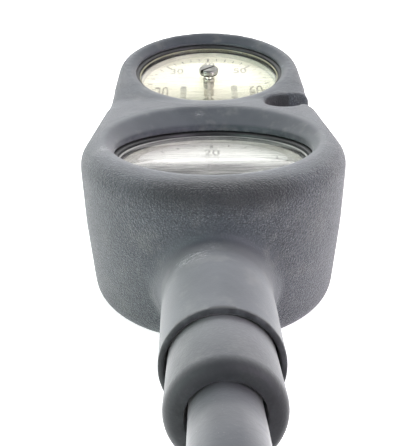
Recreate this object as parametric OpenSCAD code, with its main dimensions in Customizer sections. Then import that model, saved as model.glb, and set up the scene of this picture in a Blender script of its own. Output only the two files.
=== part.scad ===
// Two-gauge diving console: a moulded rubber boot that holds a pressure gauge and a depth
// gauge, with a swivelling high-pressure hose that ends in a first-stage fitting.
// +Y points from the hose to the depth gauge, +Z up, origin on the base under the
// pressure gauge.

/* [Boot] */
// Height of the flat top over the pressure gauge
boot_h = 47.2; // [47:0.1:48.5]
// Radius of the pressure gauge's pod at mid height
pod_r = 39.2; // [38.5:0.1:41]
// Radius of the boot's end around the depth gauge
far_r = 37; // [36.6:0.1:39]
// Distance between the two gauge centres
gauge_gap = 75.9; // [75.5:0.1:78]
// Angle by which the top rises over the depth gauge
far_rise = 13; // [12:0.5:14]
// Radius of the lip around the pressure gauge's window
near_lip_r = 29.5; // [29:0.1:29.8]
// Radius of the lip around the depth gauge's window
far_lip_r = 29.8; // [29.2:0.1:30]

/* [Neck and hose] */
// Radius of the neck at its open end
neck_r = 12.5; // [12.3:0.1:13]
// Angle by which the neck rises towards its open end
neck_rise = 10.6; // [9:0.2:12]
// Outer diameter of the hose
hose_d = 12.8; // [12:0.1:13]
// Outer radius of the hose protector sleeve
sleeve_r = 10.7; // [10.3:0.1:10.9]
// How far the sleeve stands out of the neck
sleeve_out = 16.3; // [15:0.1:18]

/* [Gauges] */
// Outer radius of a gauge capsule
case_r = 31.5; // [31:0.1:31.5]
// Depth of the pressure gauge capsule below its lens face
near_case_h = 34; // [33:0.5:34.5]
// Depth of the depth gauge capsule below its lens face
far_case_h = 24; // [22:0.5:28]
// Radius of the slotted knob on the depth gauge
knob_r = 3.9; // [3:0.1:5]

/* [Hidden] */
$fn = 64;

// Window planes: the pressure gauge leans away from the hose, the depth gauge towards it.
near_lip = [0, 0, 45];
near_lean = -5.5;
far_lip = [0, gauge_gap, 51.9];
far_lean = 11.1;
near_drop = 3.75;      // lens face below the lip
far_drop = 2.5;
near_lip_t = 2;        // thickness of the lip
far_lip_t = 0.9;
pocket_r = case_r + 0.3;
bevel_angle = 50;      // from the window's axis
bevel_h = 9;

// Boot
edge_r = 4;
pod_edge_r = 5.6;      // top edge of the pressure gauge's pod
far_top_z = 53.9;      // top surface above the depth gauge's centre
far_h = 38;            // thickness under the depth gauge
far_low_edge = 7;
foot_r = 38.2;         // radius of the pressure gauge's pod at the base
fold_y = 46;           // where the top starts to rise
waist_r = 37.2;        // half width there
base_reach = 33;       // centre of the base's far round end
base_r = 33;
notch_at = [26.5, 41.7];
notch_r = 6.8;
nose_at = [32.4, 35.6];  // rounded nose that narrows the notch's mouth
nose_r = 3;

// Neck, in its own frame: z = 0 at the open end, pointing out
neck_end = [0, -78.3, 27];
neck_bore_r = neck_r - 1.3;
neck_profile = [[0, 0], [0.6, 0], [7, 0.2], [19, 0.7], [30, 1], [36, 1.8], [40, 3.6], [43, 5.5]];

// Gauge works, measured down from the lens face
lens_t = 3.2;
seal_t = 1;
bezel_t = 1.3;
bezel_in_r = 28.4;
lens_r = 29.2;
cavity_r = 27;
dial_z = -7.2;
dial_t = 0.6;
dial_r = 26.8;
ledge_r = 25.6;
floor_t = 2.5;
needle_z = -5.8;
needle_t = 0.4;
plate_top_z = -9.2;
plate_low_z = -14.8;
plate_t = 1;
gear_z = -11.6;
gear_t = 1;
link_z = -12.9;
link_t = 0.8;
arbor_r = 0.7;
fit = 0.05;            // running clearance

// Gear train: the sector turns the pinion on the needle's arbor
gear_module = 0.45;
pinion_teeth = 12;
sector_teeth = 72;
sector_tooth_count = 13;
pinion_pitch_r = gear_module * pinion_teeth / 2;
sector_pitch_r = gear_module * sector_teeth / 2;
pivot_distance = pinion_pitch_r + sector_pitch_r;
pivot_angle = 215;
pivot_at = pivot_distance * [cos(pivot_angle), sin(pivot_angle)];
needle_sweep = 270;
sector_sweep = needle_sweep * pinion_teeth / sector_teeth;
tooth_share = 0.8;     // tooth width against a full tooth, the rest is backlash
tail = 4;
tube_r = 21;
tube_tip_angle = 197;
post_at = [0, -21];

// Fittings on the neck's axis, z from the neck's open end
stem_r = 6.5;
stem_end_r = 5.5;
stem_in = -56;
stem_shoulder = -36;
stem_tip = -28;
spool_r = 1.6;
nut_af = 14;
nut_z = [-34.5, -16];
ferrule_z = [-16, 8];
ferrule_r = 8.8;
sleeve_in = -14;
sleeve_hole_r = hose_d / 2 + 0.6;

// Hose route from the ferrule, over to the floor and into the coil
hose_r = hose_d / 2;
coil_at = [60, -172];
coil_r0 = 60;          // centre line of the first turn
coil_inner_r = coil_r0 - hose_r;
coil_outer_r = 83.4;
hose_route = [
    [0, -86.2, 28.5], [0, -94, 30.2], [0, -102.4, 32.6], [0, -112, 34.6], [0, -122, 35.6],
    [0, -132, 35.3], [0, -142, 33.7], [0, -152, 31.1], [0, -162, 27.8], [0, -172, 24],
    [1, -182, 20.8], [4, -193, 17.6]
];
// Last stretch, climbing on top of the coil
tail_route = [
    [98.5, -238.7, 10.5], [113.4, -225.4, 14.3], [122.8, -208.3, 17.2], [127.6, -190.1, 19],
    [129, -172, 19.9], [129.3, -160, 20.3], [129.3, -147, 20.4]
];
hose_sides = 10;
// End fitting, lying on the coil and pointing along +Y
far_ferrule_r = 7.6;
far_ferrule_l = 22;
tail_end = tail_route[len(tail_route) - 1];
fitting_af = 14;
collar_l = 3;
hex_l = 8;
groove_l = 2.6;
thread_r = 5.56;       // 7/16-20 UNF
thread_l = 10;

// ---------------------------------------------------------------- helpers

// Places children in the pressure gauge's frame, with z = 0 on the lens face.
module near_gauge() {
    translate(near_lip) rotate([near_lean, 0, 0]) translate([0, 0, -near_drop]) children();
}

// Places children in the depth gauge's frame, with z = 0 on the lens face.
module far_gauge() {
    translate(far_lip) rotate([far_lean, 0, 0]) translate([0, 0, -far_drop]) children();
}

// Places children on the neck's axis, with z = 0 at its open end, pointing out.
module on_neck() {
    translate(neck_end) rotate([90 - neck_rise, 0, 0]) children();
}

// Places children on the hose's far end, with z = 0 at its cut face, pointing out.
module on_tail() {
    translate(tail_end) rotate([-90, 0, 0]) children();
}

module ring(outer_r, inner_r, h) {
    difference() {
        cylinder(r = outer_r, h = h);
        translate([0, 0, -1]) cylinder(r = inner_r, h = h + 2);
    }
}

// A disc with rounded edges top and bottom.
module soft_disc(r, h, top_edge, low_edge) {
    steps = 4;
    top = [for (i = [0:steps]) let (a = 90 * i / steps)
        [r - top_edge + top_edge * cos(a), h - top_edge + top_edge * sin(a)]];
    low = [for (i = [0:steps]) let (a = 90 * i / steps)
        [r - low_edge + low_edge * sin(a), low_edge - low_edge * cos(a)]];
    rotate_extrude($fn = 48) polygon(concat([[0, 0]], low, top, [[0, h]]));
}

// A straight bar between two points on one level, with round eyes at its ends.
module bar(a, b, w, h) {
    d = b - a;
    translate([a[0], a[1], 0]) rotate([0, 0, atan2(d[1], d[0])])
        translate([0, -w / 2, 0]) cube([norm(d), w, h]);
    for (p = [a, b])
        translate([p[0], p[1], 0]) cylinder(r = 0.58 * w, h = h);
}

function involute(a) = tan(a) * 180 / PI - a;

// Half of a tooth's angle at radius r.
function half_tooth(teeth, r) =
    let (base_r = gear_module * teeth / 2 * cos(20), a = r > base_r ? acos(base_r / r) : 0)
    tooth_share * 90 / teeth + involute(20) - involute(a);

// Outline of count teeth, centred on the +X axis.
function tooth_points(teeth, count) =
    let (pitch_r = gear_module * teeth / 2,
         radii = [pitch_r - 1.2 * gear_module, pitch_r - 0.4 * gear_module, pitch_r,
                  pitch_r + 0.45 * gear_module, pitch_r + 0.8 * gear_module])
    [for (i = [0:count - 1]) let (mid = (i - (count - 1) / 2) * 360 / teeth)
        each concat(
            [for (r = radii) r * [cos(mid - half_tooth(teeth, r)), sin(mid - half_tooth(teeth, r))]],
            [for (k = [len(radii) - 1:-1:0]) let (r = radii[k], t = half_tooth(teeth, r))
                r * [cos(mid + t), sin(mid + t)]])];

// ---------------------------------------------------------------- boot

module window_cut(lip_r, drop, lip_t, case_h) {
    translate([0, 0, drop]) {
        cylinder(r1 = lip_r, r2 = lip_r + bevel_h * tan(bevel_angle), h = bevel_h);
        translate([0, 0, -lip_t - 1]) cylinder(r = lip_r, h = lip_t + 1.01);
    }
    translate([0, 0, -case_h - 0.2]) cylinder(r = pocket_r, h = case_h + 0.2 + drop - lip_t);
}

// Thin cross slice where the flat top meets the rising one.
module fold_slab() {
    for (x = [-1, 1], z = [edge_r, boot_h - edge_r])
        translate([x * (waist_r - edge_r), fold_y, z]) rotate([90, 0, 0])
            cylinder(r = edge_r, h = 1, $fn = 24);
}

module console_boot() color("#3d434b") {
    difference() {
        union() {
            hull() {
                soft_disc(foot_r, boot_h / 2, 1, edge_r);
                translate([0, 0, boot_h / 2]) soft_disc(pod_r, boot_h / 2, pod_edge_r, 1);
                translate([0, base_reach, 0]) soft_disc(base_r, 10, 1, edge_r);
                fold_slab();
            }
            hull() {
                fold_slab();
                translate([0, base_reach, 0]) soft_disc(base_r, 10, 1, edge_r);
                translate([0, gauge_gap, far_top_z]) rotate([far_rise, 0, 0])
                    translate([0, 0, -far_h]) soft_disc(far_r, far_h, edge_r, far_low_edge);
            }
            on_neck() rotate_extrude()
                polygon(concat([[0, -50], [0, 0]],
                    [for (p = neck_profile) [neck_r + p[1] - (p[0] < 0.5 ? 0.6 : 0), -p[0]]],
                    [[neck_r + 6, -50]]));
        }
        near_gauge() window_cut(near_lip_r, near_drop, near_lip_t, near_case_h);
        far_gauge() window_cut(far_lip_r, far_drop, far_lip_t, far_case_h);
        on_neck() translate([0, 0, -49]) cylinder(r = neck_bore_r, h = 60);
        // lanyard notch, open to the side past a rounded nose
        translate([notch_at[0], notch_at[1], -5]) cylinder(r = notch_r, h = 70);
        difference() {
            translate([notch_at[0] + 3, nose_at[1], -5])
                cube([20, notch_at[1] + notch_r - nose_at[1], 70]);
            translate([nose_at[0], nose_at[1], -6]) cylinder(r = nose_r, h = 72);
        }
        // water inlet to the depth gauge's port
        far_gauge() translate([post_at[0], post_at[1], -60]) cylinder(r = 3.6, h = 60 - far_case_h);
    }
}

// ---------------------------------------------------------------- gauge parts, z = 0 on the lens face

module gauge_case(case_h) {
    difference() {
        translate([0, 0, -case_h]) cylinder(r = case_r, h = case_h);
        translate([0, 0, -lens_t - seal_t]) cylinder(r = lens_r, h = 10);
        translate([0, 0, dial_z]) cylinder(r = cavity_r, h = 10);
        translate([0, 0, floor_t - case_h]) cylinder(r = ledge_r, h = case_h);
    }
}

module gauge_seal() {
    translate([0, 0, -lens_t - seal_t]) ring(lens_r - 0.1, cavity_r + 0.3, seal_t);
}

module gauge_lens(hole_r) {
    difference() {
        translate([0, 0, -lens_t]) {
            cylinder(r = lens_r - 0.1, h = lens_t - 0.5);
            translate([0, 0, lens_t - 0.5]) cylinder(r1 = lens_r - 0.1, r2 = lens_r - 0.6, h = 0.5);
        }
        if (hole_r > 0) translate([0, 0, -lens_t - 1]) cylinder(r = hole_r, h = lens_t + 2);
    }
}

module gauge_dial() {
    difference() {
        translate([0, 0, dial_z]) cylinder(r = dial_r, h = dial_t);
        translate([0, 0, dial_z - 1]) cylinder(r = 2, h = 3);
        for (x = [-10, 10])
            translate([x, 0, dial_z - 1]) cylinder(r = 0.6, h = 3);
    }
}

module gauge_dial_screws() {
    for (x = [-10, 10])
        translate([x, 0, 0]) difference() {
            union() {
                translate([0, 0, dial_z + dial_t]) cylinder(r = 1.2, h = 0.5);
                translate([0, 0, plate_top_z]) cylinder(r = 0.6, h = dial_z + dial_t - plate_top_z);
            }
            translate([-2, -0.15, dial_z + dial_t + 0.2]) cube([4, 0.3, 1]);
        }
}

// Two plates on pillars, on a post that reaches down to post_low.
module movement_frame(post_low) {
    beyond = 5.5 * [-cos(pivot_angle), -sin(pivot_angle)];
    difference() {
        union() {
            for (z = [plate_top_z, plate_low_z])
                translate([0, 0, z]) {
                    bar(beyond, pivot_at * 1.12, 5, plate_t);
                    bar([0, 0], post_at, 5, plate_t);
                }
            translate([0, 0, plate_top_z]) bar([-10, 0], [10, 0], 3.4, plate_t);
            for (p = [beyond, post_at])
                translate([p[0], p[1], plate_low_z]) cylinder(r = 1.2, h = plate_top_z - plate_low_z);
            translate([post_at[0], post_at[1], post_low]) cylinder(r = 2, h = plate_low_z - post_low + 0.5);
            for (x = [-10, 10])
                translate([x, 0, plate_top_z + 0.4]) cylinder(r = 1.4, h = dial_z - plate_top_z - 0.4);
        }
        for (p = [[0, 0], pivot_at])
            translate([p[0], p[1], -20]) cylinder(r = arbor_r + fit, h = 20);
        for (x = [-10, 10])
            translate([x, 0, -20]) cylinder(r = 0.6, h = 20);
    }
}

// Flat-oval tube bent round the capsule, closed by a cap with a lug under the link.
module bourdon_tube(z) {
    translate([0, 0, z]) {
        rotate([0, 0, -84]) rotate_extrude(angle = tube_tip_angle + 84)
            translate([tube_r - 0.8, 0]) square([1.6, 5]);
        rotate([0, 0, tube_tip_angle]) translate([tube_r, 1, 2.5]) {
            cube([2.6, 3, 5.6], center = true);
            translate([0, 0, 2.5]) cylinder(r = 0.9, h = link_z - 0.4 - z - 5);
        }
    }
}

// Arbor with the pinion, turned so that a tooth points at the sector's pivot.
module pinion() {
    rotate([0, 0, pivot_angle + 180 / pinion_teeth])
        translate([0, 0, gear_z - 0.3]) linear_extrude(gear_t + 0.6)
            polygon(tooth_points(pinion_teeth, pinion_teeth));
    translate([0, 0, plate_low_z]) cylinder(r = arbor_r, h = -plate_low_z - 4.7);
    translate([0, 0, gear_z - 1]) cylinder(r = 1.3, h = 1);
}

// Toothed sector with its arbor and a short tail, in mesh at the start of its sweep.
module sector_gear() {
    outline_r = sector_pitch_r - 1.2 * gear_module;
    half = (sector_tooth_count / 2 + 0.3) * 360 / sector_teeth;
    arc = [for (i = [0:6]) let (a = half - i * half / 3) (outline_r - 2.4) * [cos(a), sin(a)]];
    translate([pivot_at[0], pivot_at[1], gear_z]) {
        rotate([0, 0, pivot_angle + 180 - sector_sweep / 2]) {
            linear_extrude(gear_t) polygon(concat(tooth_points(sector_teeth, sector_tooth_count), arc));
            bar([0, 0], [outline_r - 1.5, 0], 2.4, gear_t);
        }
        bar([0, 0], [-tail, 0], 2.4, gear_t);
        translate([0, 0, plate_low_z - gear_z])
            cylinder(r = arbor_r, h = plate_top_z + plate_t - plate_low_z);
        translate([-tail, 0, link_z - gear_z]) cylinder(r = 0.5, h = gear_z - link_z + 0.1);
    }
}

// Link from the sector's tail to the tube's lug, where its pivot is open.
module tube_link() {
    lug = [cos(tube_tip_angle) * tube_r - sin(tube_tip_angle), sin(tube_tip_angle) * tube_r + cos(tube_tip_angle)];
    start = [pivot_at[0] - tail, pivot_at[1]];
    difference() {
        translate([0, 0, link_z]) bar(start, lug, 1.4, link_t);
        translate([start[0], start[1], link_z - 1]) cylinder(r = 0.5, h = 3);
    }
}

// Tapered needle that points along +X, with a counterweight tail.
module needle(length, w, z) {
    translate([0, 0, z]) linear_extrude(needle_t)
        polygon([[-7, -w], [-7, w], [0, w / 2], [length - 2, w / 2.6], [length, 0],
                 [length - 2, -w / 2.6], [0, -w / 2]]);
}

// ---------------------------------------------------------------- pressure gauge

module pressure_case() color("#8b8f94")
    difference() {
        near_gauge() gauge_case(near_case_h);
        on_neck() translate([0, 0, stem_in]) cylinder(r = stem_r + fit, h = 60);
        near_gauge() translate([10, 12, -near_case_h - 1]) cylinder(r = 3, h = floor_t + 2);
    }

module pressure_lens_seal() color("#1c1c1e") near_gauge() gauge_seal();

module pressure_lens() color("#dfe6e6", 0.35) near_gauge() gauge_lens(0);

module pressure_bezel() color("#9a9a92") near_gauge() ring(case_r, bezel_in_r, bezel_t);

module pressure_dial() color("#eef0e8") near_gauge() gauge_dial();

module pressure_dial_screws() color("#b9b9b4") near_gauge() gauge_dial_screws();

module pressure_movement_frame() color("#b8963e") near_gauge() movement_frame(-18.5);

module pressure_bourdon_tube() color("#c0802f") near_gauge() bourdon_tube(-23.5);

// Threaded stem with the block that feeds the tube.
module pressure_stem() color("#b8963e")
    difference() {
        union() {
            on_neck() {
                translate([0, 0, stem_in]) cylinder(r = stem_r, h = stem_shoulder - stem_in);
                translate([0, 0, stem_shoulder - 1]) cylinder(r = stem_end_r, h = stem_tip - stem_shoulder + 1);
            }
            near_gauge() translate([-3.5, -23, -30]) cube([7, 6, 11.5]);
        }
        on_neck() translate([0, 0, stem_tip - 7]) cylinder(r = spool_r + fit, h = 20);
        on_neck() translate([0, 0, stem_in + 6]) cylinder(r = 0.6, h = 40);
    }

module pressure_relief_plug() color("#242427")
    near_gauge() translate([10, 12, -near_case_h]) {
        cylinder(r = 3, h = floor_t);
        translate([0, 0, floor_t]) cylinder(r = 3.8, h = 1);
    }

module pressure_needle() color("#141414")
    near_gauge() difference() {
        union() {
            rotate([0, 0, 225]) needle(22, 1.5, needle_z);
            translate([0, 0, needle_z]) cylinder(r = 2.2, h = 0.9);
        }
        translate([0, 0, -10]) cylinder(r = arbor_r, h = 10);
    }

module pressure_pinion() color("#b8963e") near_gauge() pinion();

module pressure_sector_gear() color("#b8963e") near_gauge() sector_gear();

module pressure_link() color("#b0b0ac") near_gauge() tube_link();

// ---------------------------------------------------------------- depth gauge

module depth_case() color("#8b8f94")
    far_gauge() difference() {
        gauge_case(far_case_h);
        translate([post_at[0], post_at[1], -far_case_h - 1]) cylinder(r = 3, h = floor_t + 2);
    }

module depth_lens_seal() color("#1c1c1e") far_gauge() gauge_seal();

module depth_lens() color("#dfe6e6", 0.35) far_gauge() gauge_lens(1.5 + fit);

module depth_bezel() color("#b5ad86") far_gauge() ring(case_r, bezel_in_r, bezel_t);

module depth_dial() color("#eeeed2") far_gauge() gauge_dial();

module depth_dial_screws() color("#b9b9b4") far_gauge() gauge_dial_screws();

module depth_movement_frame() color("#b8963e") far_gauge() movement_frame(-16);

module depth_bourdon_tube() color("#c0802f") far_gauge() bourdon_tube(-21);

// Brass port that lets water pressure into the tube.
module depth_port() color("#b8963e")
    far_gauge() difference() {
        union() {
            translate([post_at[0], post_at[1], -far_case_h]) cylinder(r = 3, h = floor_t + 1);
            translate([-3.5, post_at[1] - 3, floor_t - far_case_h]) cube([7, 6, far_case_h - floor_t - 16]);
        }
        translate([post_at[0], post_at[1], -far_case_h - 1]) cylinder(r = 0.8, h = 5);
    }

module depth_needle() color("#141414")
    far_gauge() difference() {
        union() {
            rotate([0, 0, 270]) needle(22, 1.7, needle_z);
            translate([0, 0, needle_z]) cylinder(r = 2.2, h = 0.9);
        }
        translate([0, 0, -10]) cylinder(r = arbor_r, h = 10);
    }

module depth_pinion() color("#b8963e") far_gauge() pinion();

module depth_sector_gear() color("#b8963e") far_gauge() sector_gear();

module depth_link() color("#b0b0ac") far_gauge() tube_link();

// Drag hand under the lens, carried round by the needle and turned back with the knob.
module max_depth_pointer() color("#c8472c")
    far_gauge() difference() {
        union() {
            translate([0, 0, -4.2]) linear_extrude(0.4)
                rotate([0, 0, 270]) polygon([[0, -0.7], [21, -0.25], [21, 0.25], [0, 0.7]]);
            translate([0, 0, -4.2]) cylinder(r = 2.4, h = 0.6);
        }
        translate([0, 0, -6]) cylinder(r = 1, h = 6);
    }

module reset_knob() color("#6b6f72")
    far_gauge() difference() {
        union() {
            translate([0, 0, 0.35]) cylinder(r1 = knob_r - 0.4, r2 = knob_r, h = 0.6);
            translate([0, 0, 0.95]) cylinder(r = knob_r, h = 1.6);
            translate([0, 0, 2.55]) cylinder(r1 = knob_r, r2 = knob_r - 0.5, h = 0.4);
            translate([0, 0, -lens_t - 0.3]) cylinder(r = 1.5, h = lens_t + 1);
            translate([0, 0, -4.3]) cylinder(r = 1, h = 2);
        }
        rotate([0, 0, 40]) translate([-5, -0.5, 1.9]) cube([10, 1, 3]);
    }

module reset_knob_seal() color("#1c1c1e") far_gauge() translate([0, 0, 0.05]) ring(2.6, 1.5, 0.3);

// ---------------------------------------------------------------- swivel and hose

module swivel_spool() color("#c9b26a")
    on_neck() difference() {
        union() {
            translate([0, 0, stem_tip - 6]) cylinder(r = 1.2, h = 12);
            for (z = [stem_tip - 6, stem_tip - 3.4, stem_tip + 2.8, stem_tip + 5.4])
                translate([0, 0, z]) cylinder(r = spool_r - 0.1, h = 0.6);
        }
        translate([0, 0, stem_tip - 7]) cylinder(r = 0.5, h = 14);
    }

module swivel_spool_seals() color("#1c1c1e")
    on_neck() for (z = [stem_tip - 5, stem_tip + 3.8])
        translate([0, 0, z]) ring(spool_r - 0.05, 1.2, 1.2);

// Swivelling nut of the gauge end, with a hexagon and a crimp barb.
module hose_end_fitting() color("#b9bcc0")
    on_neck() difference() {
        union() {
            translate([0, 0, nut_z[0]]) intersection() {
                cylinder(d = nut_af / cos(30), h = 10, $fn = 6);
                cylinder(r1 = nut_af / 2 + 0.4, r2 = nut_af / 2 + 8, h = 10);
            }
            translate([0, 0, nut_z[0] + 10]) cylinder(r = 6.2, h = nut_z[1] - nut_z[0] - 10);
        }
        translate([0, 0, nut_z[0] - 1]) cylinder(r = stem_end_r + fit, h = stem_tip - nut_z[0] + 1.6);
        translate([0, 0, stem_tip]) cylinder(r = spool_r + fit, h = 7);
        translate([0, 0, stem_tip]) cylinder(r = 0.8, h = 20);
    }

// Metal sleeve that clamps the hose, with three ribs left between the crimps.
module crimped_ferrule(r, l) {
    cylinder(r = r, h = l);
    for (i = [0:2])
        translate([0, 0, 3 + i * (l - 8) / 2]) cylinder(r = r + 0.2, h = 2);
}

module hose_ferrule() color("#c4c7ca")
    on_neck() translate([0, 0, ferrule_z[0]])
        crimped_ferrule(ferrule_r - 0.2, ferrule_z[1] - ferrule_z[0]);

// Rubber protector over the ferrule and the first stretch of hose.
module hose_sleeve() color("#4a4e54")
    on_neck() difference() {
        rotate_extrude() polygon([[0, sleeve_in], [sleeve_r - 0.5, sleeve_in], [sleeve_r, sleeve_in + 1],
            [sleeve_r, sleeve_out - 2.4], [sleeve_r - 0.2, sleeve_out - 1.3],
            [sleeve_r - 0.7, sleeve_out - 0.5], [sleeve_r - 1.5, sleeve_out - 0.1],
            [sleeve_r - 2.2, sleeve_out], [0, sleeve_out]]);
        translate([0, 0, sleeve_in - 1]) cylinder(r = ferrule_r + 0.2, h = ferrule_z[1] - sleeve_in + 1);
        translate([0, 0, 0]) cylinder(r = sleeve_hole_r, h = sleeve_out + 1);
    }

// Tube swept along a list of points, with flat ends.
module swept_tube(route, r, sides) {
    last = len(route) - 1;
    points = [for (i = [0:last])
        let (ahead = route[min(i + 1, last)] - route[max(i - 1, 0)],
             t = ahead / norm(ahead),
             side = cross(t, [0, 0, 1]) / norm(cross(t, [0, 0, 1])),
             up = cross(side, t))
        each [for (k = [0:sides - 1]) let (a = 360 * k / sides)
            route[i] + r * (cos(a) * side + sin(a) * up)]];
    walls = [for (i = [0:last - 1], k = [0:sides - 1]) let (n = (k + 1) % sides)
        [i * sides + k, i * sides + n, (i + 1) * sides + n, (i + 1) * sides + k]];
    ends = [[for (k = [sides - 1:-1:0]) k], [for (k = [0:sides - 1]) last * sides + k]];
    polyhedron(points = points, faces = concat(walls, ends));
}

module hose_tube() color("#33363a") swept_tube(hose_route, hose_r, hose_sides);

module hose_tail() color("#33363a") swept_tube(tail_route, hose_r, hose_sides);

module hose_coil() color("#33363a")
    translate([coil_at[0], coil_at[1], 0]) rotate_extrude()
        polygon([[coil_inner_r + 3, 0], [coil_outer_r - 3, 0], [coil_outer_r, 3],
            [coil_outer_r, hose_d - 3], [coil_outer_r - 3, hose_d], [coil_inner_r + 3, hose_d],
            [coil_inner_r, hose_d - 3], [coil_inner_r, 3]]);

module far_ferrule() color("#c4c7ca") on_tail() crimped_ferrule(far_ferrule_r - 0.2, far_ferrule_l);

// Male fitting for the first stage: collar, hexagon, seal groove and thread.
module first_stage_fitting() color("#b9bcc0")
    on_tail() translate([0, 0, far_ferrule_l]) difference() {
        union() {
            cylinder(r = 5, h = collar_l);
            translate([0, 0, collar_l]) cylinder(d = fitting_af / cos(30), h = hex_l, $fn = 6);
            translate([0, 0, collar_l + hex_l]) cylinder(r = 4.2, h = groove_l);
            translate([0, 0, collar_l + hex_l + groove_l]) cylinder(r = thread_r, h = thread_l);
        }
        translate([0, 0, -1]) cylinder(r = 1.2, h = 40);
    }

module first_stage_seal() color("#1c1c1e")
    on_tail() translate([0, 0, far_ferrule_l + collar_l + hex_l + 0.3]) ring(5.3, 4.2, groove_l - 0.6);

// ---------------------------------------------------------------- nodes

console_boot();
pressure_case();
pressure_lens_seal();
pressure_lens();
pressure_bezel();
pressure_dial();
pressure_dial_screws();
pressure_movement_frame();
pressure_bourdon_tube();
pressure_stem();
pressure_relief_plug();
pressure_needle();
pressure_pinion();
pressure_sector_gear();
pressure_link();
depth_case();
depth_lens_seal();
depth_lens();
depth_bezel();
depth_dial();
depth_dial_screws();
depth_movement_frame();
depth_bourdon_tube();
depth_port();
depth_needle();
depth_pinion();
depth_sector_gear();
depth_link();
max_depth_pointer();
reset_knob();
reset_knob_seal();
swivel_spool();
swivel_spool_seals();
hose_end_fitting();
hose_ferrule();
hose_sleeve();
hose_tube();
hose_coil();
hose_tail();
far_ferrule();
first_stage_fitting();
first_stage_seal();
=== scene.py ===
"""A two-gauge diving console: rubber boot, pressure and depth gauges, swivelling hose and its fitting.

Lengths in the classes are millimetres; every finished mesh is brought to metres when it is placed.
"""

import logging
import math
from dataclasses import dataclass
from enum import Enum
from typing import Callable, Sequence

import bmesh
import bpy
from mathutils import Matrix, Vector


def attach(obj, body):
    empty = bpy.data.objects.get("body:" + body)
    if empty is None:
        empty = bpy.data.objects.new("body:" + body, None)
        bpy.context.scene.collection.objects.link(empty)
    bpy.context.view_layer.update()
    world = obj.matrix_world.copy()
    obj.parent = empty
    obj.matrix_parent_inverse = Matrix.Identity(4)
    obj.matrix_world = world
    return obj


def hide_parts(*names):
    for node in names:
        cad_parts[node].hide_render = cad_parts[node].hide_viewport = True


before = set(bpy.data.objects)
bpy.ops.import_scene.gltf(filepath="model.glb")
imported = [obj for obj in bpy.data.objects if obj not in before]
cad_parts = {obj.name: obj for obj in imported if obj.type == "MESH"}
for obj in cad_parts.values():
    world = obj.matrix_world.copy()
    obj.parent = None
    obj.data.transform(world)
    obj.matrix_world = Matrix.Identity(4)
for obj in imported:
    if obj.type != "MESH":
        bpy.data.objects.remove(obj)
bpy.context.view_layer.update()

LOG = logging.getLogger("diving_console")
MM = 0.001
FULL_TURN = 2 * math.pi
QUARTER_TURN = math.pi / 2
Point2 = tuple[float, float]
Point3 = tuple[float, float, float]
Colour = tuple[float, float, float]
BMesh = bmesh.types.BMesh
Piece = bpy.types.Object
Material = bpy.types.Material
NodeTree = bpy.types.NodeTree
Node = bpy.types.Node
Socket = bpy.types.NodeSocket


# ---------------------------------------------------------------- places


def turned_about_x(degrees: float) -> Matrix:
    """Return the rotation about X by this many degrees."""
    return Matrix.Rotation(math.radians(degrees), 4, "X")


def shifted(x: float, y: float, z: float) -> Matrix:
    """Return the translation by x, y and z."""
    return Matrix.Translation((x, y, z))


@dataclass(frozen=True)
class Window:
    """The opening over one gauge: its plane, its lip and the capsule's place under it.

    The gauge's own frame has z = 0 on the lens face and +Z out of the window.
    """

    centre: Point3
    lean: float
    lip_r: float
    lip_t: float
    drop: float
    case_h: float

    @property
    def place(self) -> Matrix:
        """The matrix from the gauge's frame to the console's frame, in millimetres."""
        return shifted(*self.centre) @ turned_about_x(self.lean) @ shifted(0, 0, -self.drop)


PRESSURE_WINDOW = Window((0, 0, 45), -5.5, 29.5, 2.0, 3.75, 34)
DEPTH_WINDOW = Window((0, 75.9, 51.9), 11.1, 29.8, 0.9, 2.5, 24)
NECK_END: Point3 = (0, -78.3, 27)
NECK_RISE = 10.6
NECK_PLACE = shifted(*NECK_END) @ turned_about_x(90 - NECK_RISE)
TAIL_END: Point3 = (129.3, -147, 20.4)
TAIL_PLACE = shifted(*TAIL_END) @ turned_about_x(-90)


# ---------------------------------------------------------------- mesh helpers


def softened(points: Sequence[Point2], radii: Sequence[float], steps: int = 5) -> list[Point2]:
    """Round the corners of an open profile.

    Args:
        points: The profile's corners.
        radii: The length cut off each side of each corner; 0 keeps it sharp.
        steps: Segments in each rounded corner.

    Returns:
        The profile with its corners rounded.
    """
    rounded: list[Point2] = []
    for i, (x, y) in enumerate(points):
        cut = radii[i]
        if cut == 0 or i in (0, len(points) - 1):
            rounded.append((x, y))
            continue
        corner = Vector((x, y))
        before = corner + (Vector(points[i - 1]) - corner).normalized() * cut
        after = corner + (Vector(points[i + 1]) - corner).normalized() * cut
        for k in range(steps + 1):
            t = k / steps
            p = (1 - t) ** 2 * before + 2 * t * (1 - t) * corner + t**2 * after
            rounded.append((p.x, p.y))
    return rounded


def lathed(profile: Sequence[Point2], closed: bool = False, steps: int = 96) -> BMesh:
    """Spin a profile of (radius, height) pairs about Z.

    Args:
        profile: Points from one end of the profile to the other.
        closed: True joins the last point to the first, for a ring.
        steps: Segments round the full turn.

    Returns:
        The closed solid.
    """
    bm = bmesh.new()
    verts = [bm.verts.new((r, 0, z)) for r, z in profile]
    edges = [bm.edges.new(pair) for pair in zip(verts, verts[1:])]
    if closed:
        edges.append(bm.edges.new((verts[-1], verts[0])))
    bmesh.ops.spin(
        bm,
        geom=[*verts, *edges],
        cent=(0, 0, 0),
        axis=(0, 0, 1),
        dvec=(0, 0, 0),
        angle=FULL_TURN,
        steps=steps,
        use_merge=True,
    )
    bmesh.ops.remove_doubles(bm, verts=bm.verts, dist=1e-4)
    bmesh.ops.recalc_face_normals(bm, faces=bm.faces)
    return bm


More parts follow.
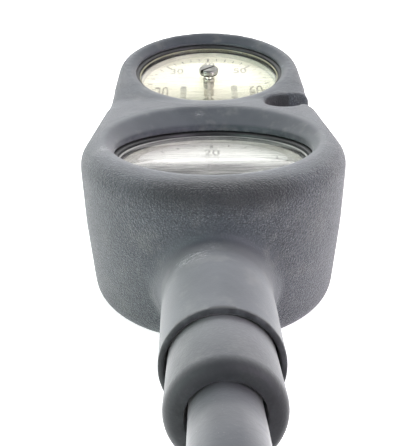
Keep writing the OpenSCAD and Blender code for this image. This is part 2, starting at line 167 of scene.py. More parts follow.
def extruded(outline: Sequence[Point2], low: float, high: float) -> BMesh:
    """Extrude a closed outline upwards.

    Args:
        outline: Corners in order.
        low: Height of the lower face.
        high: Height of the upper face.

    Returns:
        The closed solid.
    """
    bm = bmesh.new()
    face = bm.faces.new([bm.verts.new((x, y, low)) for x, y in outline])
    made = bmesh.ops.extrude_face_region(bm, geom=[face])
    raised = [v for v in made["geom"] if isinstance(v, bmesh.types.BMVert)]
    bmesh.ops.translate(bm, verts=raised, vec=(0, 0, high - low))
    bmesh.ops.recalc_face_normals(bm, faces=bm.faces)
    return bm


def clamped(value: float, low: float = 0.0) -> float:
    """Keep a value between a low and 1."""
    return min(1.0, max(low, value))


def joined(parts: Sequence[BMesh]) -> BMesh:
    """Put several solids into one bmesh and free them."""
    whole = bmesh.new()
    for part in parts:
        mesh = bpy.data.meshes.new("part")
        part.to_mesh(mesh)
        part.free()
        whole.from_mesh(mesh)
        bpy.data.meshes.remove(mesh)
    return whole


def placed(bm: BMesh, place: Matrix) -> BMesh:
    """Move a bmesh by a matrix and return it."""
    bmesh.ops.transform(bm, matrix=place, verts=bm.verts)
    return bm


def boxed(size: Point3, place: Matrix) -> BMesh:
    """Return a box of this size, centred on a place."""
    bm = bmesh.new()
    bmesh.ops.create_cube(bm, size=1, matrix=place @ Matrix.Diagonal((*size, 1)))
    return bm


def linked(name: str, data: bpy.types.ID) -> Piece:
    """Put an object with this data in the scene, at the origin."""
    obj = bpy.data.objects.new(name, data)
    bpy.context.scene.collection.objects.link(obj)
    return obj


def mesh_object(name: str, bm: BMesh, to_metres: bool = True) -> Piece:
    """Turn a bmesh into an object in the scene.

    Args:
        name: The object's name.
        bm: The mesh, which is freed.
        to_metres: True scales it from millimetres.

    Returns:
        The object, at the origin.
    """
    if to_metres:
        bmesh.ops.scale(bm, vec=(MM, MM, MM), verts=bm.verts)
    mesh = bpy.data.meshes.new(name)
    bm.to_mesh(mesh)
    bm.free()
    return linked(name, mesh)


def evaluated_mesh(obj: Piece) -> bpy.types.Mesh:
    """Return a new mesh of an object as it is evaluated."""
    bpy.context.view_layer.update()
    return bpy.data.meshes.new_from_object(obj.evaluated_get(bpy.context.evaluated_depsgraph_get()))


def apply_modifiers(obj: Piece) -> None:
    """Bake an object's modifiers into its mesh."""
    mesh = evaluated_mesh(obj)
    old = obj.data
    obj.modifiers.clear()
    obj.data = mesh
    bpy.data.meshes.remove(old)


def cut_from(obj: Piece, cutter: BMesh) -> None:
    """Cut one solid, in millimetres, out of an object and drop it."""
    tool = mesh_object("cutter", cutter)
    boolean = obj.modifiers.new("cut", "BOOLEAN")
    boolean.operation = "DIFFERENCE"
    boolean.solver = "EXACT"
    boolean.object = tool
    apply_modifiers(obj)
    bpy.data.objects.remove(tool)


def grimed(obj: Piece, rule: Callable[[Vector, Vector], float]) -> None:
    """Paint a mesh's attribute of painted shade, which darkens its colour where shade would fall.

    Args:
        obj: The object, which is at the origin.
        rule: Gives the painted shade, 0 to 1, from a vertex's place in millimetres and its normal.
    """
    layer = obj.data.attributes.new("painted_shade", "FLOAT", "POINT")
    for vert, value in zip(obj.data.vertices, layer.data):
        value.value = rule(vert.co / MM, vert.normal)


def shaded(obj: Piece, sharp_above: float = 35) -> None:
    """Shade an object smooth, with edges above this angle in degrees kept sharp."""
    obj.data.shade_smooth()
    obj.data.set_sharp_from_angle(angle=math.radians(sharp_above))


# ---------------------------------------------------------------- node helpers


class NodeBench:
    """Adds nodes to one tree and joins them."""

    def __init__(self, tree: NodeTree) -> None:
        """Work on this node tree."""
        self.tree = tree

    def add(self, kind: str, **settings: object) -> Node:
        """Add a node and set its properties.

        Args:
            kind: The node's type name without the ShaderNode prefix.
            settings: Properties of the node.

        Returns:
            The node.
        """
        node = self.tree.nodes.new("ShaderNode" + kind)
        for key, value in settings.items():
            setattr(node, key, value)
        return node

    def feed(self, socket: Socket, value: object) -> None:
        """Join a socket to another one, or set it to a number or colour."""
        if isinstance(value, Socket):
            self.tree.links.new(value, socket)
        elif isinstance(value, tuple) and len(value) == 3 and socket.type == "RGBA":
            socket.default_value = (*value, 1.0)
        else:
            socket.default_value = value

    def set_inputs(self, node: Node, values: dict[str, object]) -> None:
        """Feed several of a node's inputs by name."""
        for name, value in values.items():
            self.feed(node.inputs[name], value)

    def attribute(self, name: str) -> Socket:
        """Return a mesh attribute's value."""
        return self.add("Attribute", attribute_name=name).outputs["Fac"]

    def distance(self, vector: object, point: Point3) -> Socket:
        """Return how far a vector is from a point."""
        node = self.add("VectorMath", operation="DISTANCE")
        self.feed(node.inputs[0], vector)
        node.inputs[1].default_value = point
        return node.outputs["Value"]

    def times(self, a: object, b: object, clamp: bool = False) -> Socket:
        """Return the product of two values."""
        return self.maths("MULTIPLY", a, b, clamp)

    def plus(self, a: object, b: object, clamp: bool = False) -> Socket:
        """Return the sum of two values."""
        return self.maths("ADD", a, b, clamp)

    def maths(self, operation: str, a: object, b: object, clamp: bool = False) -> Socket:
        """Return the result of a Math node on two values."""
        node = self.add("Math", operation=operation, use_clamp=clamp)
        self.feed(node.inputs[0], a)
        self.feed(node.inputs[1], b)
        return node.outputs[0]

    def ramp(self, value: object, low: float, high: float, to_low: float = 0.0, to_high: float = 1.0) -> Socket:
        """Return a value mapped from one range to another, clamped and smooth."""
        node = self.add("MapRange", interpolation_type="SMOOTHSTEP")
        ends = {"From Min": low, "From Max": high, "To Min": to_low, "To Max": to_high}
        self.set_inputs(node, {"Value": value, **ends})
        return node.outputs["Result"]

    def mixed(self, share: object, first: object, second: object) -> Socket:
        """Return two colours mixed by a share."""
        node = self.add("Mix", data_type="RGBA")
        self.feed(node.inputs[0], share)
        self.feed(node.inputs[6], first)
        self.feed(node.inputs[7], second)
        return node.outputs[2]

    def stretched(self, vector: object, scale: Point3, turn: Point3 = (0, 0, 0)) -> Socket:
        """Return a vector turned and scaled by a Mapping node."""
        node = self.add("Mapping")
        self.feed(node.inputs["Vector"], vector)
        node.inputs["Scale"].default_value = scale
        node.inputs["Rotation"].default_value = turn
        return node.outputs[0]

    def noise(
        self, vector: object, scale: object, detail: float = 2.0, roughness: float = 0.5, distortion: float = 0.0
    ) -> Socket:
        """Return a noise texture's value."""
        node = self.add("TexNoise")
        looks = {"Detail": detail, "Roughness": roughness, "Distortion": distortion}
        self.set_inputs(node, {"Vector": vector, "Scale": scale, **looks})
        return node.outputs["Fac"]

    def grouped(self, group: NodeTree, **values: object) -> Node:
        """Place a node group and set its inputs by name."""
        node = self.add("Group")
        node.node_tree = group
        self.set_inputs(node, values)
        return node


class Effects:
    """The node groups that several finishes share."""

    def __init__(self) -> None:
        """Build every group once."""
        self.grain = self._grain()
        self.dust = self._dust()
        self.wear = self._wear()
        self.scratches = self._scratches()

    @staticmethod
    def _group(
        name: str, inputs: dict[str, float], outputs: Sequence[str]
    ) -> tuple[NodeBench, dict[str, Socket], Node]:
        """Start a group.

        Args:
            name: The group's name.
            inputs: The default of each float input; a Vector input comes first.
            outputs: The names of its float outputs.

        Returns:
            The group's bench, its inputs by name and the node that takes its outputs.
        """
        tree = bpy.data.node_groups.new(name, "ShaderNodeTree")
        tree.interface.new_socket("Vector", in_out="INPUT", socket_type="NodeSocketVector")
        for key, value in inputs.items():
            socket = tree.interface.new_socket(key, in_out="INPUT", socket_type="NodeSocketFloat")
            socket.default_value = value
        for key in outputs:
            tree.interface.new_socket(key, in_out="OUTPUT", socket_type="NodeSocketFloat")
        source = tree.nodes.new("NodeGroupInput").outputs
        given = {key: source[key] for key in ("Vector", *inputs)}
        return NodeBench(tree), given, tree.nodes.new("NodeGroupOutput")

    def _grain(self) -> NodeTree:
        """Pebbled mould grain: Height is its relief, Pits its hollows; the rubber paints shade into the pits and
        highlights onto the crests.
        """
        bench, given, sink = self._group("pebble_grain", {"Scale": 1000.0}, ("Height", "Pits"))
        cells = bench.add("TexVoronoi", feature="SMOOTH_F1")
        bench.set_inputs(cells, {**given, "Smoothness": 0.6})
        pebbles = bench.ramp(cells.outputs["Distance"], 0.15, 0.75, 1.0, 0.0)
        worms = bench.ramp(bench.noise(given["Vector"], given["Scale"], distortion=0.6), 0.35, 0.65)
        height = bench.plus(bench.times(pebbles, 0.5), bench.times(worms, 0.5))
        bench.set_inputs(sink, {"Height": height, "Pits": bench.ramp(height, 0.15, 0.5, 1.0, 0.0)})
        return bench.tree

    def _dust(self) -> NodeTree:
        """Pale dust that settles on faces that look up: Mask is its cover."""
        bench, given, sink = self._group("settled_dust", {"Scale": 60.0, "Amount": 0.5}, ("Mask",))
        face = bench.add("SeparateXYZ")
        bench.feed(face.inputs[0], bench.add("NewGeometry").outputs["Normal"])
        upward = bench.ramp(face.outputs["Z"], 0.1, 1.0)
        patchy = bench.ramp(bench.noise(given["Vector"], given["Scale"], 5.0), 0.25, 0.75, 0.4, 1.0)
        bench.feed(sink.inputs["Mask"], bench.times(bench.times(upward, patchy), given["Amount"], clamp=True))
        return bench.tree

    def _wear(self) -> NodeTree:
        """Rubbed edges: Mask is where the shape is convex, broken up by noise."""
        bench, given, sink = self._group("rubbed_edges", {"Scale": 400.0, "Amount": 0.5}, ("Mask",))
        convex = bench.ramp(bench.add("NewGeometry").outputs["Pointiness"], 0.51, 0.58)
        patchy = bench.ramp(bench.noise(given["Vector"], given["Scale"], 4.0), 0.35, 0.7)
        bench.feed(sink.inputs["Mask"], bench.times(bench.times(convex, patchy), given["Amount"], clamp=True))
        return bench.tree

    def _scratches(self) -> NodeTree:
        """Hairline scratches in three directions: Mask is 1 in a scratch."""
        bench, given, sink = self._group("hairlines", {"Scale": 100.0, "Cover": 0.5}, ("Mask",))
        lines: list[Socket] = []
        for turn, ratio in ((0.4, 40.0), (1.5, 55.0), (2.5, 35.0)):
            along = bench.stretched(given["Vector"], (1, ratio, 1), (0, 0, turn))
            lines.append(bench.ramp(bench.noise(along, given["Scale"], 1.0), 0.66, 0.72))
        most = bench.maths("MAXIMUM", lines[0], bench.maths("MAXIMUM", lines[1], lines[2]))
        bench.feed(sink.inputs["Mask"], bench.times(most, given["Cover"], clamp=True))
        return bench.tree


def new_material(name: str) -> tuple[Material, NodeBench, Node, Socket]:
    """Start a material.

    Args:
        name: The material's name.

    Returns:
        The material, its bench, its Principled shader and the Object coordinates.
    """
    material = bpy.data.materials.new(name)
    material.use_nodes = True
    material.node_tree.nodes.clear()
    bench = NodeBench(material.node_tree)
    surface = bench.add("BsdfPrincipled")
    output = bench.add("OutputMaterial")
    bench.feed(output.inputs["Surface"], surface.outputs["BSDF"])
    place = bench.add("TexCoord").outputs["Object"]
    return material, bench, surface, place


def bumped(bench: NodeBench, surface: Node, height: object, depth_mm: float, strength: object = 1.0) -> None:
    """Give a shader relief of this depth in millimetres."""
    bump = bench.add("Bump")
    bench.feed(bump.inputs["Height"], height)
    bench.feed(bump.inputs["Strength"], strength)
    bump.inputs["Distance"].default_value = depth_mm * MM
    bench.feed(surface.inputs["Normal"], bump.outputs["Normal"])


def roughened(bench: NodeBench, surface: Node, rough: object, mask: object, share: float) -> None:
    """Set a shader's roughness, raised by a share of a mask."""
    bench.feed(surface.inputs["Roughness"], bench.plus(rough, bench.times(mask, share), clamp=True))


# ---------------------------------------------------------------- finishes

STAIN_COLOUR: Colour = (0.125, 0.13, 0.126)
# Colour of the shade painted onto the rubber.
RUBBER_PAINTED_SHADE: Colour = (0.008, 0.009, 0.011)
SCUFF_COLOUR: Colour = (0.72, 0.73, 0.74)
# Colour of the shade painted into the knob's slot and under its head.
METAL_PAINTED_SHADE: Colour = (0.02, 0.018, 0.014)
PLASTIC_DUST: Colour = (0.6, 0.6, 0.57)
HOSE_DUST: Colour = (0.3, 0.31, 0.33)
HOSE_SPECKS: Colour = (0.4, 0.41, 0.42)
EVEN_GRAIN = 0.25


@dataclass(frozen=True)
class ScuffPatch:
    """A pale scuffed area: its centre, its reach and its strength."""

    centre: Point3
    reach: float
    strength: float


@dataclass(frozen=True)
class BootRubber:
    """Moulded black rubber gone grey: pebbled where the grain attribute says, dusty on top, with painted shade in
    the grain's pits, painted highlights on its crests and painted shade where the shade attribute says.
    """

    name: str
    dark: Colour
    light: Colour
    dust: Colour
    roughness: float
    grain_per_mm: float
    grain_depth: float
    dust_amount: float
    wear_amount: float
    scuffs: tuple[ScuffPatch, ...] = ()
    grained: bool = True

    def material(self, effects: Effects) -> Material:
        """Build the material."""
        material, bench, surface, place = new_material(self.name)
        clouds = bench.noise(place, 45.0, 4.0, 0.6)
        body = bench.mixed(bench.ramp(clouds, 0.3, 0.7), self.dark, self.light)
        stain = bench.ramp(bench.noise(place, 130.0, 5.0, 0.65), 0.5, 0.68)
        body = bench.mixed(bench.times(stain, 0.45), body, STAIN_COLOUR)
        grain = bench.grouped(effects.grain, Vector=place, Scale=self.grain_per_mm / MM)
        cover = bench.attribute("grain") if self.grained else EVEN_GRAIN
        # Painted shade: the grain's pits are darkened as if in shade.
        pit_shade = bench.times(grain.outputs["Pits"], cover)
        body = bench.mixed(bench.times(pit_shade, 0.65), body, tuple(0.35 * c for c in self.dark))
        # Painted highlight: the grain's crests are lightened with the dust colour to stand for their glints.
        crest_highlight = bench.ramp(grain.outputs["Height"], 0.62, 0.95)
        body = bench.mixed(bench.times(bench.times(crest_highlight, cover), 0.42), body, self.dust)
        dust = bench.grouped(effects.dust, Vector=place, Amount=self.dust_amount)
        body = bench.mixed(dust.outputs["Mask"], body, self.dust)
        # Painted shade: the shade attribute darkens the notch's walls, the neck's open end, a patch under the front
        # rim and the sleeve's outer end.
        body = bench.mixed(bench.times(bench.attribute("painted_shade"), 0.94), body, RUBBER_PAINTED_SHADE)
        wear = bench.grouped(effects.wear, Vector=place, Amount=self.wear_amount)
        body = bench.mixed(wear.outputs["Mask"], body, self.dust)
        for patch in self.scuffs:
            body = bench.mixed(self._scuff(bench, effects, place, patch), body, SCUFF_COLOUR)
        rough = bench.plus(bench.times(clouds, 0.16), self.roughness - 0.08)
        roughened(bench, surface, rough, dust.outputs["Mask"], 0.2)
        sheen = {"Sheen Weight": 0.4, "Sheen Roughness": 0.45}
        bench.set_inputs(surface, {"Base Color": body, "Specular IOR Level": 0.5, **sheen})
        fine = bench.noise(place, 2600.0, 3.0, 0.6)
        relief = bench.plus(bench.times(grain.outputs["Height"], cover), bench.times(fine, 0.12))
        bumped(bench, surface, relief, self.grain_depth)
        return material

    @staticmethod
    def _scuff(bench: NodeBench, effects: Effects, place: Socket, patch: ScuffPatch) -> Socket:
        """Return the mask of one scuffed patch."""
        away = bench.distance(place, tuple(c * MM for c in patch.centre))
        near = bench.ramp(away, 0.15 * patch.reach * MM, patch.reach * MM, 1.0, 0.0)
        lines = bench.grouped(effects.scratches, Vector=place, Scale=260.0, Cover=0.8)
        specks = bench.ramp(bench.noise(place, 1500.0, 5.0, 0.7), 0.5, 0.72)
        marks = bench.plus(bench.times(specks, 0.6), lines.outputs["Mask"], clamp=True)
        return bench.times(bench.times(near, marks), patch.strength, clamp=True)


@dataclass(frozen=True)
class Metal:
    """Machined or plated metal with turning marks, tarnish and hairlines, and painted shade where its shade
    attribute says.
    """

    name: str
    colour: Colour
    tarnish: Colour
    roughness: float
    tarnish_amount: float = 0.3

    def material(self, effects: Effects) -> Material:
        """Build the material."""
        material, bench, surface, place = new_material(self.name)
        spots = bench.ramp(bench.noise(place, 350.0, 6.0, 0.65), 0.42, 0.72)
        lines = bench.grouped(effects.scratches, Vector=place, Scale=220.0, Cover=0.6)
        stain = bench.times(spots, self.tarnish_amount)
        body = bench.mixed(stain, self.colour, self.tarnish)
        # Painted shade: the shade attribute darkens the knob's slot and the underside of its head.
        body = bench.mixed(bench.times(bench.attribute("painted_shade"), 0.92), body, METAL_PAINTED_SHADE)
        bench.set_inputs(surface, {"Base Color": body, "Metallic": 1.0})
        rough = bench.plus(bench.times(stain, 0.4), self.roughness)
        roughened(bench, surface, rough, lines.outputs["Mask"], 0.2)
        bumped(bench, surface, bench.plus(bench.noise(place, 3000.0, 2.0), lines.outputs["Mask"]), 0.01)
        return material


@dataclass(frozen=True)
class Plastic:
    """Moulded plastic, paint or enamel: faint mottling, dust and fine relief; a painted glow brightens the dials as
    painted light.
    """

    name: str
    colour: Colour
    second: Colour
    roughness: float
    dust_amount: float = 0.1
    relief: float = 0.01
    coat: float = 0.0
    glow: float = 0.0

    def material(self, effects: Effects) -> Material:
        """Build the material."""
        material, bench, surface, place = new_material(self.name)
        mottle = bench.ramp(bench.noise(place, 120.0, 5.0, 0.6), 0.3, 0.75)
        dust = bench.grouped(effects.dust, Vector=place, Scale=300.0, Amount=self.dust_amount)
        body = bench.mixed(mottle, self.colour, self.second)
        body = bench.mixed(dust.outputs["Mask"], body, PLASTIC_DUST)
        roughened(bench, surface, self.roughness, mottle, 0.12)
        coat = {"Coat Weight": self.coat, "Coat Roughness": 0.2}
        # Painted light: the glow brightens the dials as if more light fell on them.
        glow = {"Emission Color": self.colour, "Emission Strength": self.glow}
        bench.set_inputs(surface, {"Base Color": body, **coat, **glow})
        bumped(bench, surface, bench.noise(place, 1800.0, 4.0, 0.6), self.relief)
        return material


@dataclass(frozen=True)
class HandPaint:
    """A dial hand's faded paint: dark at the hub, pale along the blade."""

    name: str
    blade: Colour
    hub: Colour
    roughness: float
    window: Window
    hub_r: float

    def material(self, effects: Effects) -> Material:
        """Build the material."""
        material, bench, surface, place = new_material(self.name)
        away = bench.distance(place, self.window.place @ Vector((0, 0, -5)) * MM)
        outward = bench.ramp(away, 0.5 * self.hub_r * MM, self.hub_r * MM)
        speckle = bench.ramp(bench.noise(place, 1500.0, 4.0, 0.6), 0.3, 0.7)
        body = bench.mixed(outward, self.hub, self.blade)
        worn = bench.mixed(bench.times(speckle, 0.3), body, tuple(0.6 * c for c in self.blade))
        bench.feed(surface.inputs["Base Color"], worn)
        roughened(bench, surface, self.roughness, speckle, 0.1)
        bumped(bench, surface, speckle, 0.01)
        return material


@dataclass(frozen=True)
class ClearLens:
    """Clear cast plastic with hairline scratches; light reaches the dial through it."""

    name: str
    tint: Colour
    roughness: float
    scratch_cover: float

    def material(self, effects: Effects) -> Material:
        """Build the material."""
        material, bench, surface, place = new_material(self.name)
        lines = bench.grouped(effects.scratches, Vector=place, Scale=60.0, Cover=self.scratch_cover)
        haze = bench.ramp(bench.noise(place, 90.0, 5.0, 0.6), 0.4, 0.8)
        bench.set_inputs(surface, {"Base Color": self.tint, "Transmission Weight": 1.0, "IOR": 1.49})
        rough = bench.plus(bench.times(haze, 0.06), self.roughness)
        roughened(bench, surface, rough, lines.outputs["Mask"], 0.25)
        bumped(bench, surface, lines.outputs["Mask"], 0.02)
        through = bench.add("BsdfTransparent")
        through.inputs["Color"].default_value = (0.96, 0.96, 0.94, 1.0)
        choice = bench.add("MixShader")
        bench.feed(choice.inputs[0], bench.add("LightPath").outputs["Is Shadow Ray"])
        bench.feed(choice.inputs[1], surface.outputs["BSDF"])
        bench.feed(choice.inputs[2], through.outputs["BSDF"])
        output = next(n for n in material.node_tree.nodes if n.type == "OUTPUT_MATERIAL")
        bench.feed(output.inputs["Surface"], choice.outputs["Shader"])
        return material


@dataclass(frozen=True)
class HoseRubber:
    """Smooth extruded hose cover: satin, with faint lengthwise marks and dust."""

    name: str
    dark: Colour
    light: Colour
    roughness: float

    def material(self, effects: Effects) -> Material:
        """Build the material."""
        material, bench, surface, place = new_material(self.name)
        clouds = bench.ramp(bench.noise(place, 70.0, 4.0, 0.55), 0.3, 0.7)
        specks = bench.ramp(bench.noise(place, 1800.0, 4.0, 0.7), 0.62, 0.75)
        body = bench.mixed(clouds, self.dark, self.light)
        dust = bench.grouped(effects.dust, Vector=place, Amount=0.2)
        body = bench.mixed(dust.outputs["Mask"], body, HOSE_DUST)
        body = bench.mixed(bench.times(specks, 0.25), body, HOSE_SPECKS)
        lines = bench.grouped(effects.scratches, Vector=place, Scale=80.0, Cover=0.5)
        rough = bench.plus(bench.times(clouds, 0.1), self.roughness)
        roughened(bench, surface, rough, lines.outputs["Mask"], 0.2)
        sheen = {"Sheen Weight": 0.5, "Sheen Roughness": 0.4}
        bench.set_inputs(surface, {"Base Color": body, "Specular IOR Level": 0.5, **sheen})
        bumped(bench, surface, bench.noise(place, 900.0, 3.0, 0.6), 0.03)
        return material


class Finish(Enum):
    """Every finish on the console; the value's name is the material's name."""

    BOOT = BootRubber(
        "moulded_boot_rubber", (0.025, 0.031, 0.040), (0.047, 0.055, 0.066), (0.22, 0.235, 0.25),
        0.58, 2.3, 0.22, 0.16, 0.4,
        (
            ScuffPatch((-9, -46.5, 33), 5, 1.0),
            ScuffPatch((-5, -47, 33.5), 5, 0.9),
            ScuffPatch((-1.5, -43, 36.5), 4, 0.8),
            ScuffPatch((-31, -8, 47), 3.5, 0.7),
            ScuffPatch((19, -36, 36), 3, 0.4),
            ScuffPatch((-4, 33, 45.5), 2.5, 0.6),
        ),
    )
    SLEEVE = BootRubber(
        "sleeve_rubber_finish", (0.027, 0.031, 0.037), (0.046, 0.051, 0.058), (0.20, 0.21, 0.225),
        0.6, 1.6, 0.08, 0.45, 0.3, (), False,
    )
    HOSE = HoseRubber("hose_cover_rubber", (0.010, 0.013, 0.020), (0.022, 0.027, 0.037), 0.30)
    SEAL = Plastic("seal_rubber_finish", (0.012, 0.012, 0.013), (0.02, 0.02, 0.021), 0.6, 0.05)
    LENS = ClearLens("clear_lens_plastic", (0.985, 0.99, 0.965), 0.015, 0.55)
    DEPTH_LENS = ClearLens("clear_depth_lens_plastic", (0.985, 0.985, 0.93), 0.01, 0.3)
    BEZEL = Plastic("black_bezel_plastic", (0.014, 0.015, 0.016), (0.025, 0.026, 0.027), 0.35, 0.05)
    # Pale rings that stand as painted highlights for the lit edges of the lenses.
    PALE_EDGE = Plastic("pale_lens_edge_highlight", (0.42, 0.43, 0.40), (0.26, 0.27, 0.25), 0.3, 0.0, 0.01, 0.3)
    YELLOW_EDGE = Plastic("yellow_lens_edge_highlight", (0.42, 0.41, 0.27), (0.26, 0.25, 0.16), 0.3, 0.0, 0.01, 0.3)
    # Both dials carry a painted glow that stands in for light falling on them through the lenses.
    WHITE_DIAL = Plastic("white_dial_enamel", (0.84, 0.84, 0.81), (0.79, 0.79, 0.76), 0.45, glow=0.38)
    GLOW_DIAL = Plastic("luminous_dial_paint", (0.88, 0.87, 0.74), (0.80, 0.79, 0.65), 0.55, glow=0.33)
    DIAL_PRINT = Plastic("faded_dial_print", (0.30, 0.28, 0.22), (0.46, 0.44, 0.35), 0.6, 0.0)
    PALE_PRINT = Plastic("worn_dial_print", (0.34, 0.34, 0.32), (0.46, 0.46, 0.43), 0.6, 0.0)
    NEEDLE = Plastic("black_needle_paint", (0.018, 0.018, 0.02), (0.03, 0.03, 0.03), 0.4)
    DEPTH_HAND = HandPaint("faded_hand_paint", (0.74, 0.71, 0.58), (0.34, 0.32, 0.26), 0.5, DEPTH_WINDOW, 4.0)
    CASE = Plastic("capsule_plastic", (0.62, 0.62, 0.57), (0.54, 0.54, 0.49), 0.4, 0.1, 0.01)
    KNOB = Metal("knob_metal_finish", (0.42, 0.42, 0.40), (0.16, 0.15, 0.12), 0.34, 0.6)
    BRASS = Metal("machined_brass", (0.78, 0.56, 0.24), (0.30, 0.19, 0.08), 0.28)
    PLATED = Metal("plated_brass_finish", (0.72, 0.71, 0.67), (0.44, 0.40, 0.32), 0.24)
    BRONZE = Metal("tube_bronze", (0.62, 0.36, 0.17), (0.25, 0.12, 0.06), 0.32)
    STEEL = Metal("bright_steel", (0.62, 0.62, 0.61), (0.32, 0.30, 0.27), 0.26)
    CHROME = Metal("chromed_brass", (0.72, 0.73, 0.74), (0.40, 0.38, 0.34), 0.14, 0.2)


class Dresser:
    """Builds finishes on demand and puts them on pieces."""

    def __init__(self) -> None:
        """Start with the shared effects and no materials."""
        self.effects = Effects()
        self.made: dict[Finish, Material] = {}

    def material(self, finish: Finish) -> Material:
        """Return a finish's material, building it the first time."""
        if finish not in self.made:
            self.made[finish] = finish.value.material(self.effects)
        return self.made[finish]

    def dress(self, obj: Piece, finish: Finish, body: str, replaces: Sequence[str] = ()) -> Piece:
        """Give a new piece its finish, its body and the nodes that it stands for.

        Args:
            obj: The piece.
            finish: Its finish.
            body: The body that it rides on.
            replaces: The nodes that it stands for.

        Returns:
            The piece.
        """
        obj.data.materials.clear()
        obj.data.materials.append(self.material(finish))
        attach(obj, body)
        if replaces:
            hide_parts(*replaces)
        LOG.info("%s rides on %s", obj.name, body)
        return obj

    def dress_node(self, node: str, finish: Finish) -> None:
        """Give a node that stays visible its finish."""
        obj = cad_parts[node]
        if not obj.material_slots:
            obj.data.materials.append(None)
        for material_slot in obj.material_slots:
            material_slot.material = self.material(finish)
        LOG.info("%s keeps its own shape", node)


# ---------------------------------------------------------------- camera and hose


@dataclass
class Viewpoint:
    """The camera: where it stands and how it looks at the console."""

    place: Point3 = (-3.5, -163.93, 100.69)
    pitch: float = 26.5
    yaw: float = 0.63
    roll: float = -0.5
    focal_length: float = 46.413
    sensor: float = 36.0

    def build(self) -> Piece:
        """Make the camera and set it as the scene's."""
        data = bpy.data.cameras.new("camera")
        data.sensor_fit = "VERTICAL"
        data.sensor_width = data.sensor_height = self.sensor
        data.lens = self.focal_length
        data.clip_start = 0.005
        pitch, yaw, roll = (math.radians(a) for a in (self.pitch, self.yaw, self.roll))
        ahead = Vector((math.sin(yaw) * math.cos(pitch), math.cos(yaw) * math.cos(pitch), -math.sin(pitch)))
        level = Vector((math.cos(yaw), -math.sin(yaw), 0))
        upright = level.cross(ahead)
        right = math.cos(roll) * level + math.sin(roll) * upright
        up = -math.sin(roll) * level + math.cos(roll) * upright
        turn = Matrix((right, up, -ahead)).transposed().to_4x4()
        turn.translation = Vector(self.place) * MM
        camera = linked("camera", data)
        camera.matrix_world = turn
        bpy.context.scene.camera = camera
        return camera


@dataclass
class Hose:
    """The high-pressure hose: out of the sleeve, over to the floor, once round and onto its own coil."""

    diameter: float = 12.8
    coil_centre: Point2 = (60, -172)
    first_r: float = 60.0
    floor_z: float = 6.4
    start_z: float = 24.0
    last_turn: float = 1.29
    points_a_turn: int = 24
    cord_length: float = 0.76
    exit: Point3 = (0, -0.0944, 0.0303)
    lead: tuple[Point3, ...] = (
        (0, -86.2, 28.5), (0, -94, 30.2), (0, -102.4, 32.6), (0, -112, 34.6), (0, -122, 35.6),
        (0, -132, 35.3), (0, -142, 33.7), (0, -152, 31.1), (0, -162, 27.8),
    )
    tail: tuple[Point3, ...] = (
        (98.5, -238.7, 10.5), (113.4, -225.4, 14.3), (122.8, -208.3, 17.2), (127.6, -190.1, 19),
        (129, -172, 19.9), (129.3, -160, 20.3), (129.3, -147, 20.4),
    )

    def route(self) -> list[Point3]:
        """Return every point of the hose's centre line."""
        points = list(self.lead)
        count = int(self.last_turn * self.points_a_turn)
        for i in range(count + 1):
            turn = i / self.points_a_turn
            angle = math.pi + FULL_TURN * turn
            radius = self.first_r + self.diameter * turn
            fall = max(0.0, 1 - turn / 0.3) ** 2
            points.append(
                (
                    self.coil_centre[0] + radius * math.cos(angle),
                    self.coil_centre[1] + radius * math.sin(angle),
                    self.floor_z + (self.start_z - self.floor_z) * fall,
                )
            )
        return [*points, *self.tail]

    def build(self, dresser: Dresser) -> Piece:
        curve = bpy.data.curves.new("hose_line", "CURVE")
        curve.dimensions = "3D"
        spline = curve.splines.new("BEZIER")
        route = self.route()
        spline.bezier_points.add(len(route) - 1)
        for knot, point in zip(spline.bezier_points, route):
            knot.co = Vector(point) * MM
            knot.handle_left_type = knot.handle_right_type = "AUTO"
        curve.bevel_depth = self.diameter / 2 * MM
        curve.bevel_resolution = 10
        curve.resolution_u = 10
        curve.use_fill_caps = True
        nodes = ("hose_tube", "hose_coil", "hose_tail")
        return dresser.dress(linked("hose_line", curve), Finish.HOSE, "hose", nodes)


# ---------------------------------------------------------------- boot


